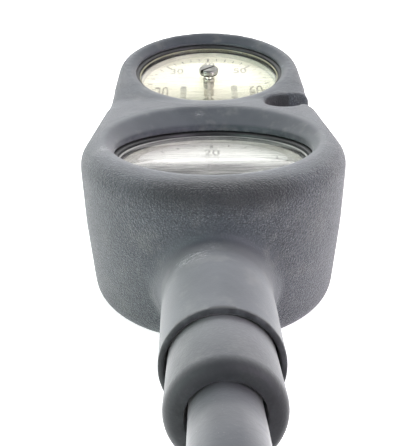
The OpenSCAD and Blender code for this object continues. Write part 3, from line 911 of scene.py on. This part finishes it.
@dataclass
class Boot:
    """The rubber boot: two pods, a neck, two bevelled windows, a lanyard notch and a water inlet."""

    height: float = 47.2
    pod_r: float = 39.2
    foot_r: float = 38.2
    far_r: float = 37.0
    far_centre: Point3 = (0, 75.9, 53.9)
    far_rise: float = 13.0
    far_h: float = 38.0
    far_low_edge: float = 7.0
    edge_r: float = 4.0
    pod_edge_r: float = 5.6
    fold_y: float = 46.0
    waist_r: float = 37.2
    base_reach: float = 33.0
    base_r: float = 33.0
    neck_r: float = 12.5
    neck_bore_r: float = 11.2
    neck_profile: tuple[Point2, ...] = (
        (-1.5, 0), (0.6, 0), (7, 0.2), (19, 0.7), (30, 1), (36, 1.5), (40, 2.8), (43, 4.4),
    )
    root_depth: Point2 = (-50, -29)
    root_reach: float = 25.0
    root_end_y: float = -24.0
    fold_span: Point2 = (36, 58)
    fold_low: float = 30.0
    rounds_all: int = 4
    rounds_off_notch: int = 3
    rounds_root: int = 9
    rounds_fold: int = 25
    bevel_angle: float = 50.0
    bevel_h: float = 9.0
    pocket_r: float = 31.8
    notch_at: Point2 = (26.5, 41.7)
    notch_r: float = 6.8
    nose_at: Point2 = (32.4, 35.6)
    nose_r: float = 3.0
    notch_margin: float = 1.5
    steep: float = 0.75
    # A patch under the front rim that is painted dark as shade.
    dark_patch_at: Point3 = (4, -36.5, 45.5)
    dark_patch_reach: Point3 = (26, 5, 4)
    inlet_at: Point2 = (0, -21)
    inlet_r: float = 3.6
    voxel: float = 0.72
    flat_below: float = 0.12
    windows: tuple[Window, ...] = (PRESSURE_WINDOW, DEPTH_WINDOW)

    def build(self) -> Piece:
        """Make the boot's mesh, with its grain attribute painted."""
        shells = [
            self._hulled(self._near_rings()),
            self._hulled(self._far_rings()),
            self._neck(),
        ]
        boot = mesh_object("boot_body", joined(shells))
        self._remesh(boot)
        for window in self.windows:
            cut_from(boot, self._bevel_cutter(window))
        cut_from(boot, self._notch_cutter())
        self._remesh(boot)
        self._relax(boot)
        for window in self.windows:
            cut_from(boot, self._pocket_cutter(window))
        cut_from(boot, self._neck_end_cutter())
        cut_from(boot, self._inlet_cutter())
        self._finish_edges(boot)
        shaded(boot, 42)
        return boot

    def _soft_disc(self, bm: BMesh, radius: float, thickness: float, edges: Point2, place: Matrix) -> None:
        """Add the rings of a disc with rounded edges, ready to be hulled.

        Args:
            bm: Where the rings go.
            radius: The disc's radius.
            thickness: Its height.
            edges: Its rounding at the top and at the bottom.
            place: The disc's place.
        """
        steps = 5
        for k in range(steps + 1):
            a = QUARTER_TURN * k / steps
            for z, edge, r in (
                (thickness - edges[0] * (1 - math.sin(a)), edges[0], radius - edges[0] * (1 - math.cos(a))),
                (edges[1] * (1 - math.cos(a)), edges[1], radius - edges[1] * (1 - math.sin(a))),
            ):
                bmesh.ops.create_circle(bm, segments=96, radius=r, matrix=place @ shifted(0, 0, z))

    def _fold_rings(self, bm: BMesh) -> None:
        """Add the thin cross slice where the flat top meets the rising one."""
        for side in (-1, 1):
            for z in (self.edge_r, self.height - self.edge_r):
                for y in (self.fold_y - 1, self.fold_y):
                    spot = shifted(side * (self.waist_r - self.edge_r), y, z) @ turned_about_x(90)
                    bmesh.ops.create_circle(bm, segments=32, radius=self.edge_r, matrix=spot)

    def _base_rings(self, bm: BMesh) -> None:
        """Add the round end of the flat base."""
        self._soft_disc(bm, self.base_r, 10, (1, self.edge_r), shifted(0, self.base_reach, 0))

    def _near_rings(self) -> BMesh:
        """Return the rings of the half over the pressure gauge."""
        bm = bmesh.new()
        half = self.height / 2
        self._soft_disc(bm, self.foot_r, half, (1, self.edge_r), Matrix.Identity(4))
        self._soft_disc(bm, self.pod_r, half, (self.pod_edge_r, 1), shifted(0, 0, half))
        self._base_rings(bm)
        self._fold_rings(bm)
        return bm

    def _far_rings(self) -> BMesh:
        """Return the rings of the half over the depth gauge."""
        bm = bmesh.new()
        self._fold_rings(bm)
        self._base_rings(bm)
        tilt = shifted(*self.far_centre) @ turned_about_x(self.far_rise) @ shifted(0, 0, -self.far_h)
        self._soft_disc(bm, self.far_r, self.far_h, (self.edge_r, self.far_low_edge), tilt)
        return bm

    @staticmethod
    def _hulled(bm: BMesh) -> BMesh:
        """Wrap a skin round every point of a bmesh."""
        made = bmesh.ops.convex_hull(bm, input=bm.verts)
        spare = {v for v in [*made["geom_interior"], *made["geom_unused"]] if isinstance(v, bmesh.types.BMVert)}
        bmesh.ops.delete(bm, geom=list(spare), context="VERTS")
        loose = [e for e in bm.edges if not e.link_faces]
        bmesh.ops.delete(bm, geom=loose, context="EDGES")
        bmesh.ops.recalc_face_normals(bm, faces=bm.faces)
        return bm

    def _neck(self) -> BMesh:
        """Return the solid neck, which flares into the near pod."""
        profile: list[Point2] = [(0, 1.5)]
        profile += [(self.neck_r + flare, -inward) for inward, flare in self.neck_profile]
        profile += [(self.neck_r + 6, -50), (0, -50)]
        return placed(lathed(profile), NECK_PLACE)

    def _remesh(self, boot: Piece) -> None:
        """Melt the boot's shells into one skin of even squares."""
        remesh = boot.modifiers.new("remesh", "REMESH")
        remesh.mode = "VOXEL"
        remesh.voxel_size = self.voxel * MM
        apply_modifiers(boot)

    def _relax(self, boot: Piece) -> None:
        """Round every edge a little, and the neck's root and the fold much more."""
        bm = bmesh.new()
        bm.from_mesh(boot.data)
        off_notch = [vert for vert in bm.verts if not self._by_notch(vert.co / MM)]
        self._smooth(bm, bm.verts, self.rounds_all)
        self._smooth(bm, off_notch, self.rounds_off_notch)
        inverse = NECK_PLACE.inverted()
        root: list[bmesh.types.BMVert] = []
        fold: list[bmesh.types.BMVert] = []
        for vert in bm.verts:
            spot = vert.co / MM
            on_axis = inverse @ spot
            off_axis = Vector((on_axis.x, on_axis.y)).length
            in_root = self.root_depth[0] < on_axis.z < self.root_depth[1] and off_axis < self.root_reach
            if in_root and spot.y < self.root_end_y:
                root.append(vert)
            in_fold = self.fold_span[0] < spot.y < self.fold_span[1] and spot.z > self.fold_low
            if in_fold and not self._by_notch(spot):
                fold.append(vert)
        self._smooth(bm, root, self.rounds_root)
        self._smooth(bm, fold, self.rounds_fold)
        bm.to_mesh(boot.data)
        bm.free()

    @staticmethod
    def _smooth(bm: BMesh, verts: Sequence[bmesh.types.BMVert], rounds: int) -> None:
        """Even out some vertices this many times."""
        for _ in range(rounds):
            bmesh.ops.smooth_vert(bm, verts=verts, factor=0.5, use_axis_x=True, use_axis_y=True, use_axis_z=True)

    def _off_hole(self, spot: Vector) -> float:
        """Return a point's distance from the axis of the notch's hole."""
        return math.hypot(spot.x - self.notch_at[0], spot.y - self.notch_at[1])

    def _by_notch(self, spot: Vector) -> bool:
        """Tell whether a point of the boot is on the lanyard notch or its edge."""
        reach = self.notch_r + self.notch_margin
        low_y = self.nose_at[1] - self.notch_margin
        high_y = self.notch_at[1] + self.notch_r + self.notch_margin
        in_mouth = spot.x > self.notch_at[0] and low_y < spot.y < high_y
        return self._off_hole(spot) < reach or in_mouth

    def _bevel_cutter(self, window: Window) -> BMesh:
        """Return the cone that bevels a window's rim."""
        slope = math.tan(math.radians(self.bevel_angle))
        under = 4.0
        profile = [
            (0, window.drop - under / slope),
            (window.lip_r - under, window.drop - under / slope),
            (window.lip_r + self.bevel_h * slope, window.drop + self.bevel_h),
            (0, window.drop + self.bevel_h),
        ]
        return placed(lathed(profile, steps=160), window.place)

    def _pocket_cutter(self, window: Window) -> BMesh:
        """Return the capsule's pocket with the lip's opening over it."""
        lip = window.lip_r
        low = window.drop - window.lip_t
        top = window.drop
        profile = [
            (0, -window.case_h - 0.2),
            (self.pocket_r, -window.case_h - 0.2),
            (self.pocket_r, low),
            (lip + 0.25, low),
            (lip, low + 0.2),
            (lip, top - 0.3),
            (lip + 0.05, top - 0.08),
            (lip + 0.2, top + 0.1),
            (lip + 0.5, top + 0.5),
            (lip - 4, top + 9),
            (0, top + 9),
        ]
        return placed(lathed(profile, steps=192), window.place)

    def _neck_end_cutter(self) -> BMesh:
        """Return the neck's bore, with what trims its open end square and eases both edges."""
        bore, outer = self.neck_bore_r, self.neck_r
        profile = [
            (0, -49), (bore, -49), (bore, -0.3), (bore + 0.08, -0.1), (bore + 0.25, 0),
            (outer - 0.4, 0), (outer - 0.15, -0.12), (outer, -0.4), (outer + 4, -0.4), (outer + 4, 8), (0, 8),
        ]
        return placed(lathed(profile, steps=128), NECK_PLACE)

    def _notch_cutter(self) -> BMesh:
        """Return the lanyard notch: a round hole, open to the side past a rounded nose."""
        hole, nose = Vector(self.notch_at), Vector(self.nose_at)
        apart = (nose - hole).length
        along = (self.notch_r**2 - self.nose_r**2 + apart**2) / (2 * apart)
        aside = math.sqrt(self.notch_r**2 - along**2)
        towards = (nose - hole).normalized()
        pinch = hole + towards * along + Vector((-towards.y, towards.x)) * aside
        mouth_x = hole.x + 24
        outline: list[Point2] = [(mouth_x, nose.y), (mouth_x, hole.y + self.notch_r)]
        outline += self._arc(hole, self.notch_r, QUARTER_TURN, FULL_TURN + math.atan2(*(pinch - hole).yx) - 0.3, 40)
        outline += softened(
            [outline[-1], (pinch.x - 0.3, pinch.y + 0.1), (pinch.x + 0.9, pinch.y - 0.3)], [0, 0.7, 0], 6
        )[1:]
        outline += self._arc(nose, self.nose_r, 1.05, 0.0, 8)
        return extruded(outline, -6, 70)

    @staticmethod
    def _arc(centre: Vector, radius: float, start: float, end: float, steps: int) -> list[Point2]:
        """Return the points of an arc between two angles in radians."""
        angles = [start + (end - start) * k / steps for k in range(steps + 1)]
        return [(centre.x + radius * math.cos(a), centre.y + radius * math.sin(a)) for a in angles]

    def _inlet_cutter(self) -> BMesh:
        """Return the water inlet under the depth gauge's port."""
        window = DEPTH_WINDOW
        profile = [(0, -60), (self.inlet_r, -60), (self.inlet_r, -window.case_h), (0, -window.case_h)]
        return placed(lathed(profile, steps=48), window.place @ shifted(*self.inlet_at, 0))

    def _finish_edges(self, boot: Piece) -> None:
        """Tidy the cut edges, paint where the mould was grained and paint shade onto the notch's walls, the neck's
        open end and a patch under the front rim.
        """
        bm = bmesh.new()
        bm.from_mesh(boot.data)
        bmesh.ops.triangulate(bm, faces=[f for f in bm.faces if len(f.verts) > 4])
        bmesh.ops.remove_doubles(bm, verts=bm.verts, dist=0.02 * MM)
        bm.normal_update()
        grain = bm.verts.layers.float.new("grain")
        # Painted shade for the rubber's colour: the notch's walls, the neck's open end and a patch under the front
        # rim.
        painted_shade = bm.verts.layers.float.new("painted_shade")
        for vert in bm.verts:
            vert[grain] = self._grain_at(vert.co / MM, vert.normal)
            vert[painted_shade] = self._grime_at(vert.co / MM, vert.normal)
            if vert.co.z < self.flat_below * MM:
                vert.co.z = 0.0
        bm.to_mesh(boot.data)
        bm.free()

    def _grime_at(self, spot: Vector, normal: Vector) -> float:
        """Return the painted shade of a point: the notch's walls, the neck's open end and a patch under the front
        rim.
        """
        on_axis = NECK_PLACE.inverted() @ spot
        if on_axis.z > -0.8 and math.hypot(on_axis.x, on_axis.y) < self.neck_r + 1:
            return 1.0
        if self._off_hole(spot) > self.notch_r + 0.6 or abs(normal.z) > self.steep:
            offsets = [(c - m) / r for c, m, r in zip(spot, self.dark_patch_at, self.dark_patch_reach)]
            return 0.85 * clamped(1.6 - Vector(offsets).length)
        return min(1.0, (self.steep - abs(normal.z)) / 0.4)

    def _grain_at(self, spot: Vector, normal: Vector) -> float:
        """Return how strong the mould grain is at a point of the boot."""
        if any(self._in_window(window, spot, normal) for window in self.windows):
            return 0.0
        on_axis = NECK_PLACE.inverted() @ spot
        wall = clamped((1.0 - normal.z) / 0.1, 0.55)
        off_axis = math.hypot(on_axis.x, on_axis.y)
        return wall * (clamped((off_axis - 13.5) / 7.0) if on_axis.z > -46 else 1.0)

    @staticmethod
    def _in_window(window: Window, spot: Vector, normal: Vector) -> bool:
        """Tell whether a point is on the smooth lip, bevel or pocket of a window."""
        inverse = window.place.inverted()
        p = inverse @ spot
        off_axis = math.hypot(p.x, p.y)
        if off_axis >= window.lip_r + 7.5 or not -window.case_h - 1 < p.z < 9 or normal.z <= -0.5:
            return False
        return off_axis < 0.5 + window.lip_r or Vector((p.x, p.y)).dot((inverse.to_3x3() @ normal).to_2d()) < 0


# ---------------------------------------------------------------- gauges


@dataclass
class DialMarks:
    """Ticks and figures printed on a dial, in the gauge's frame."""

    zero_angle: float
    sweep: float
    top_value: int
    figure_step: int
    tick_step: int
    figure_r: float
    figure_h: float
    tick_outer_r: float = 24.6
    face_z: float = -6.6
    print_t: float = 0.03

    def angle_of(self, value: float) -> float:
        """Return a value's angle on the dial in radians."""
        return math.radians(self.zero_angle - self.sweep * value / self.top_value)

    def build(self) -> BMesh:
        """Make every tick and figure in one bmesh."""
        parts = [self._tick(v) for v in range(0, self.top_value + 1, self.tick_step)]
        parts += [self._figure(v) for v in range(0, self.top_value + 1, self.figure_step)]
        return joined(parts)

    def _tick(self, value: int) -> BMesh:
        """Return one tick, longer and wider at a figure."""
        main = value % self.figure_step == 0
        length, width = (3.4, 0.8) if main else (1.8, 0.4)
        turn = Matrix.Rotation(self.angle_of(value), 4, "Z")
        middle = shifted(self.tick_outer_r - length / 2, 0, self.face_z + self.print_t / 2)
        return boxed((length, width, self.print_t), turn @ middle)

    def _figure(self, value: int) -> BMesh:
        """Return one upright figure."""
        words = bpy.data.curves.new("figure", "FONT")
        words.body = str(value)
        words.size = self.figure_h / 0.7
        words.align_x = "CENTER"
        words.align_y = "CENTER"
        words.extrude = self.print_t / 2
        words.offset = 0.06
        words.resolution_u = 4
        holder = linked("figure", words)
        mesh = evaluated_mesh(holder)
        bpy.data.objects.remove(holder)
        bm = bmesh.new()
        bm.from_mesh(mesh)
        bpy.data.meshes.remove(mesh)
        bmesh.ops.remove_doubles(bm, verts=bm.verts, dist=1e-4)
        angle = self.angle_of(value)
        spot = (self.figure_r * math.cos(angle), self.figure_r * math.sin(angle), self.face_z + self.print_t / 2)
        return placed(bm, shifted(*spot))


@dataclass
class Gauge:
    """One capsule's visible trim: lens, bezel ring, dial and print."""

    name: str
    window: Window
    marks: DialMarks
    lens: Finish
    edge: Finish
    dial: Finish
    print_finish: Finish
    dial_slot: str
    lens_hole_r: float = 0.0
    lens_r: float = 29.1
    lens_t: float = 3.2
    bezel_r: float = 31.5
    bezel_in_r: float = 28.4
    bezel_t: float = 1.3
    dial_r: float = 26.8
    dial_z: float = -7.2
    dial_t: float = 0.6
    dial_hole_r: float = 2.0

    def build(self, dresser: Dresser) -> None:
        """Make the trim and dress it."""
        place = self.window.place
        for part, bm, finish, slot, nodes in (
            ("lens_disc", self._lens(), self.lens, "clear_lens", (f"{self.name}_lens",)),
            ("bezel_ring", self._bezel(), Finish.BEZEL, "bezel_plastic", (f"{self.name}_bezel",)),
            # Painted highlight: a pale ring for the lit edge of the lens.
            ("lens_edge_highlight", self._edge_bead(), self.edge, "clear_lens", ()),
            ("dial_plate", self._dial(), self.dial, self.dial_slot, (f"{self.name}_dial",)),
        ):
            piece = mesh_object(f"{self.name}_{part}", placed(bm, place))
            shaded(piece)
            dresser.dress(piece, finish, "console", nodes)
        print_piece = mesh_object(f"{self.name}_dial_print", placed(self.marks.build(), place))
        dresser.dress(print_piece, self.print_finish, "console")

    def _lens(self) -> BMesh:
        """Return the lens with its chamfered rim, and a hole for the knob's stem if it has one."""
        r, low, hole = self.lens_r, -self.lens_t, self.lens_hole_r
        rim = [(r - 0.15, low), (r, low + 0.15), (r, -0.5), (r - 0.42, -0.06), (r - 0.6, 0)]
        if hole:
            return lathed([(hole, low), *rim, (hole + 0.15, 0), (hole, -0.15)], closed=True, steps=160)
        return lathed([(0, low), *rim, (0, 0)], steps=160)

    def _bezel(self) -> BMesh:
        """Return the ring that holds the lens in."""
        inner, outer, top = self.bezel_in_r, self.bezel_r, self.bezel_t
        profile = [
            (inner, 0.02), (inner, 0.85), (inner + 0.12, 1.12), (inner + 0.4, top),
            (outer - 0.3, top), (outer, top - 0.3), (outer, 0.02),
        ]
        return lathed(profile, closed=True, steps=160)

    def _edge_bead(self) -> BMesh:
        """Return the fine pale ring where the lens meets its ring: a painted highlight for the lit edge of the
        lens.
        """
        r = self.bezel_in_r
        profile = [(r - 0.5, 0.01), (r - 0.4, 0.16), (r - 0.2, 0.24), (r - 0.01, 0.2), (r - 0.01, 0.01)]
        return lathed(profile, closed=True, steps=160)

    def _dial(self) -> BMesh:
        """Return the dial plate with its hole for the arbor."""
        r, hole, low, top = self.dial_r, self.dial_hole_r, self.dial_z, self.dial_z + self.dial_t
        profile = [(hole, low), (r, low), (r, top - 0.1), (r - 0.1, top), (hole, top)]
        return lathed(profile, closed=True, steps=128)


@dataclass
class ResetKnob:
    """The slotted knob through the depth lens, with its stem down to the drag hand."""

    radius: float = 3.9
    low: float = 0.35
    high: float = 2.95
    slot_w: float = 1.0
    slot_floor: float = 1.9
    slot_turn: float = 40.0
    stem_r: float = 1.5
    foot_r: float = 1.0

    def build(self, dresser: Dresser) -> None:
        """Make the knob and dress it."""
        r = self.radius
        profile = softened(
            [(0, -4.3), (self.foot_r, -4.3), (self.foot_r, -3.5), (self.stem_r, -3.5), (self.stem_r, self.low),
             (r - 0.4, self.low), (r, self.low + 0.6), (r, self.high - 0.45), (r - 0.5, self.high), (0, self.high)],
            [0, 0, 0, 0, 0, 0.12, 0.15, 0.25, 0.25, 0], 4,
        )
        place = DEPTH_WINDOW.place
        knob = mesh_object("reset_knob_head", placed(lathed(profile), place))
        slot = boxed((3 * r, self.slot_w, 3), shifted(0, 0, self.slot_floor + 1.5))
        cut_from(knob, placed(slot, place @ Matrix.Rotation(math.radians(self.slot_turn), 4, "Z")))
        bevel = knob.modifiers.new("ease", "BEVEL")
        bevel.width = 0.08 * MM
        bevel.segments = 2
        bevel.limit_method = "ANGLE"
        bevel.angle_limit = math.radians(50)
        apply_modifiers(knob)
        grimed(knob, self._grime_at)
        shaded(knob)
        dresser.dress(knob, Finish.KNOB, "max_depth_hand", ("reset_knob",))

    def _grime_at(self, spot: Vector, normal: Vector) -> float:
        """Return the painted shade of a point: dark in the slot and under the head."""
        at = DEPTH_WINDOW.place.inverted() @ spot
        turn = math.radians(self.slot_turn)
        across = at.y * math.cos(turn) - at.x * math.sin(turn)
        in_slot = abs(across) < self.slot_w / 2 + 0.12 and self.slot_floor - 0.1 < at.z < self.high - 0.15
        return 1.0 if in_slot or at.z < self.low + 0.7 else 0.0


# ---------------------------------------------------------------- hose ends


@dataclass
class HoseSleeve:
    """The rubber protector that slides over the ferrule and the first stretch of hose."""

    radius: float = 10.7
    inner_end: float = -14.0
    outer_end: float = 16.3
    ferrule_hole_r: float = 9.0
    hose_hole_r: float = 7.0
    step_z: float = 8.0

    def build(self, dresser: Dresser) -> None:
        """Make the sleeve and dress it."""
        r, end = self.radius, self.outer_end
        profile = [
            (self.ferrule_hole_r, self.inner_end), (r - 0.5, self.inner_end), (r, self.inner_end + 1),
            (r, end - 2.6), (r - 0.05, end - 2.0), (r - 0.18, end - 1.45), (r - 0.38, end - 0.98),
            (r - 0.66, end - 0.58), (r - 1.02, end - 0.27), (r - 1.45, end - 0.08), (r - 1.9, end),
            (self.hose_hole_r + 0.4, end), (self.hose_hole_r + 0.1, end - 0.12), (self.hose_hole_r, end - 0.5),
            (self.hose_hole_r, self.step_z), (self.ferrule_hole_r, self.step_z),
        ]
        sleeve = mesh_object("hose_sleeve_skin", placed(lathed(profile, closed=True, steps=128), NECK_PLACE))
        grimed(sleeve, self._grime_at)
        shaded(sleeve, 50)
        dresser.dress(sleeve, Finish.SLEEVE, "hose", ("hose_sleeve",))

    def _grime_at(self, spot: Vector, normal: Vector) -> float:
        """Return the painted shade of a point: the rounded outer end is painted dark."""
        out = (NECK_PLACE.inverted() @ spot).z - self.outer_end
        return 0.9 * clamped((out + 3.2) / 2.4)


@dataclass
class FarFitting:
    """What is on the hose's far end: a crimped ferrule, and a hexagon with a threaded end and its seal."""

    ferrule_r: float = 7.4
    ferrule_l: float = 22.0
    collar_r: float = 5.0
    collar_l: float = 3.0
    across_flats: float = 14.0
    hex_l: float = 8.0
    groove_r: float = 4.2
    groove_l: float = 2.6
    thread_r: float = 5.56
    thread_l: float = 10.0
    pitch: float = 1.27
    bore_r: float = 1.2

    def build(self, dresser: Dresser) -> list[Piece]:
        """Make the three pieces, dress them and return them."""
        pieces: list[Piece] = []
        for name, bm, finish, slot, node in (
            ("far_ferrule_shell", self._ferrule(), Finish.CHROME, "steel", "far_ferrule"),
            ("first_stage_fitting_body", self._fitting(), Finish.CHROME, "chrome_brass", "first_stage_fitting"),
            ("first_stage_seal_ring", self._seal(), Finish.SEAL, "seal_rubber", "first_stage_seal"),
        ):
            piece = mesh_object(name, placed(bm, TAIL_PLACE))
            shaded(piece)
            pieces.append(dresser.dress(piece, finish, "hose", (node,)))
        return pieces

    def _ferrule(self) -> BMesh:
        """Return the crimped shell with its three raised ribs."""
        r, length = self.ferrule_r, self.ferrule_l
        points: list[Point2] = [(0, 0.02), (r - 0.3, 0.02), (r, 0.4)]
        for i in range(3):
            z = 3 + i * (length - 8) / 2
            points += [(r - 0.1, z - 0.4), (r + 0.2, z + 0.2), (r + 0.2, z + 1.8), (r - 0.1, z + 2.4)]
        points += [(r, length - 0.6), (r - 0.5, length - 0.02), (0, length - 0.02)]
        return lathed(points)

    def _fitting(self) -> BMesh:
        """Return the collar, hexagon, groove and helical thread round one bore."""
        low, collar = self.ferrule_l, self.ferrule_l + self.collar_l + 0.5
        start = self.ferrule_l + self.collar_l + self.hex_l + self.groove_l
        core = self.thread_r - 0.75
        end = start + self.thread_l
        turned = lathed(
            [
                (self.bore_r, low), (self.collar_r, low), (self.collar_r, collar), (self.groove_r, collar),
                (self.groove_r, start), (core, start), (core, end - 0.8), (core - 0.7, end),
                (self.bore_r + 0.4, end), (self.bore_r, end - 0.4),
            ],
            closed=True,
        )
        return joined([turned, self._hexagon(), self._thread(start, core)])

    def _hexagon(self) -> BMesh:
        """Return the hexagon with its corners turned down at both ends."""
        low = self.ferrule_l + self.collar_l
        bm = bmesh.new()
        corner_r = self.across_flats / 2 / math.cos(math.pi / 6)
        bmesh.ops.create_cone(
            bm, cap_ends=True, segments=6, radius1=corner_r, radius2=corner_r, depth=self.hex_l,
            matrix=shifted(0, 0, low + self.hex_l / 2),
        )
        rims = [e for e in bm.edges if abs(e.verts[0].co.z - e.verts[1].co.z) < 1e-6]
        bmesh.ops.bevel(bm, geom=rims, offset=0.5, segments=3, affect="EDGES", profile=0.5, material=-1)
        return bm

    def _thread(self, start: float, core: float) -> BMesh:
        """Return the thread's ridge, spun up along its helix and closed at its ends."""
        steps_a_turn = 40
        turns = (self.thread_l - 1.6 * self.pitch) / self.pitch
        steps = int(turns * steps_a_turn)
        bm = bmesh.new()
        low = start + 0.3
        half = self.pitch * 0.44
        root, crest = core - 0.2, self.thread_r - 0.05
        corners = [(root, low), (crest, low + half - 0.08), (crest, low + half + 0.08), (root, low + 2 * half)]
        face = bm.faces.new([bm.verts.new((r, 0, z)) for r, z in corners])
        bmesh.ops.spin(
            bm, geom=[face, *face.verts, *face.edges], cent=(0, 0, 0), axis=(0, 0, 1),
            dvec=(0, 0, self.pitch / steps_a_turn), angle=FULL_TURN * steps / steps_a_turn, steps=steps,
        )
        bmesh.ops.recalc_face_normals(bm, faces=bm.faces)
        return bm

    def _seal(self) -> BMesh:
        """Return the round seal in the groove."""
        middle_z = self.ferrule_l + self.collar_l + self.hex_l + self.groove_l / 2
        wire, middle_r, sides = 0.55, 4.75, 16
        angles = [FULL_TURN * k / sides for k in range(sides)]
        ring = [(middle_r + wire * math.cos(a), middle_z + wire * math.sin(a)) for a in angles]
        return lathed(ring, closed=True, steps=64)


# ---------------------------------------------------------------- studio


@dataclass
class Studio:
    """A plain pale floor and soft light from behind and both sides."""

    floor_size: float = 60.0
    horizon_strength: float = 2.3
    zenith_strength: float = 1.25
    floor_glow: float = 0.75
    dim_side: Point3 = (0, -0.55, 0.83)
    dim_share: float = 0.06

    def build(self) -> None:
        """Make the floor, the sky and the lamps."""
        bm = bmesh.new()
        bmesh.ops.create_grid(bm, x_segments=1, y_segments=1, size=self.floor_size / 2 / MM)
        floor = mesh_object("studio_floor", bm)
        material, bench, surface, place = new_material("pale_floor")
        tone = bench.ramp(bench.noise(place, 3.0, 2.0), 0.2, 0.8)
        pale = bench.mixed(tone, (0.93, 0.93, 0.93), (0.95, 0.95, 0.95))
        bench.set_inputs(surface, {"Base Color": pale, "Roughness": 0.9, "Specular IOR Level": 0.1})
        bench.set_inputs(surface, {"Emission Color": (1, 1, 1), "Emission Strength": self.floor_glow})
        floor.data.materials.append(material)
        self._sky()
        self._lamp("lamp_behind", (0, 0.6, 0.72), (0, 0.04, 0.04), 0.4, 8.0, (1.0, 1.0, 1.0), glossy=False)
        self._lamp("lamp_left", (-0.6, -0.45, 0.3), (0, 0.0, 0.02), 0.3, 2.2, (0.72, 1.0, 0.92))
        self._lamp("lamp_right", (0.5, -0.5, 0.4), (0, 0.0, 0.02), 0.25, 2.8, (0.95, 0.80, 1.0))

    def _sky(self) -> None:
        """Make a white surround that is dimmer on the hose's side."""
        world = bpy.data.worlds.new("studio_sky")
        world.use_nodes = True
        bench = NodeBench(world.node_tree)
        background = world.node_tree.nodes["Background"]
        direction = bench.add("TexCoord").outputs["Generated"]
        towards = bench.add("VectorMath", operation="DOT_PRODUCT")
        bench.feed(towards.inputs[0], direction)
        towards.inputs[1].default_value = self.dim_side
        height = bench.add("SeparateXYZ")
        bench.feed(height.inputs[0], direction)
        high = bench.ramp(height.outputs["Z"], 0.05, 0.4, self.horizon_strength, self.zenith_strength)
        level = bench.times(high, bench.ramp(towards.outputs["Value"], 0.38, 0.84, 1.0, self.dim_share))
        background.inputs["Color"].default_value = (1, 1, 1, 1)
        bench.feed(background.inputs["Strength"], level)
        bpy.context.scene.world = world
        bpy.context.scene.view_settings.view_transform = "Standard"

    @staticmethod
    def _lamp(
        name: str, place: Point3, aim: Point3, size: float, power: float, colour: Colour, glossy: bool = True
    ) -> None:
        """Add a square soft lamp that looks at a point.

        Args:
            name: The lamp's name.
            place: Where it stands, in metres.
            aim: The point that it looks at.
            size: The side of its square.
            power: Its power in watts.
            colour: Its colour.
            glossy: Whether shiny surfaces mirror it.
        """
        data = bpy.data.lights.new(name, "AREA")
        data.size = size
        data.energy = power
        data.color = colour
        lamp = linked(name, data)
        lamp.location = place
        lamp.rotation_euler = (Vector(aim) - Vector(place)).to_track_quat("-Z", "Y").to_euler()
        lamp.visible_glossy = glossy
        lamp.visible_transmission = glossy


# ---------------------------------------------------------------- nodes that keep their own shape

NODE_FINISHES: dict[Finish, tuple[str, ...]] = {
    Finish.PLATED: ("pressure_case", "pressure_stem"),
    Finish.SEAL: (
        "pressure_lens_seal", "pressure_relief_plug", "depth_lens_seal", "reset_knob_seal",
        "swivel_spool_seals",
    ),
    Finish.STEEL: (
        "pressure_dial_screws", "pressure_link", "depth_dial_screws", "depth_link", "swivel_spool",
    ),
    Finish.BRASS: (
        "pressure_movement_frame", "pressure_pinion", "pressure_sector_gear", "depth_movement_frame",
        "depth_port", "depth_pinion", "depth_sector_gear",
    ),
    Finish.BRONZE: ("pressure_bourdon_tube", "depth_bourdon_tube"),
    Finish.NEEDLE: ("pressure_needle",),
    Finish.CASE: ("depth_case",),
    Finish.DEPTH_HAND: ("depth_needle", "max_depth_pointer"),
    Finish.CHROME: ("hose_end_fitting", "hose_ferrule"),
}


def main() -> None:
    """Build the camera, the hose, the boot, the gauges and the studio."""
    logging.basicConfig(level=logging.INFO, format="%(name)s: %(message)s")
    dresser = Dresser()
    Viewpoint().build()
    hose = Hose()
    hose_piece = hose.build(dresser)
    far_pieces = FarFitting().build(dresser)
    HoseSleeve().build(dresser)
    boot = Boot().build()
    dresser.dress(boot, Finish.BOOT, "console", ("console_boot",))
    pressure_marks = DialMarks(225, 270, 40, 10, 2, 17.5, 3.6)
    Gauge(
        "pressure", PRESSURE_WINDOW, pressure_marks, Finish.LENS, Finish.PALE_EDGE, Finish.WHITE_DIAL,
        Finish.PALE_PRINT, "white_dial",
    ).build(dresser)
    depth_marks = DialMarks(270, 270, 60, 10, 2, 18.6, 4.0)
    Gauge(
        "depth", DEPTH_WINDOW, depth_marks, Finish.DEPTH_LENS, Finish.YELLOW_EDGE, Finish.GLOW_DIAL,
        Finish.DIAL_PRINT, "luminous_dial", lens_hole_r=1.6,
    ).build(dresser)
    ResetKnob().build(dresser)
    for finish, nodes in NODE_FINISHES.items():
        for node in nodes:
            dresser.dress_node(node, finish)
    Studio().build()
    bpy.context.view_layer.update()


if __name__ == "__main__":
    main()
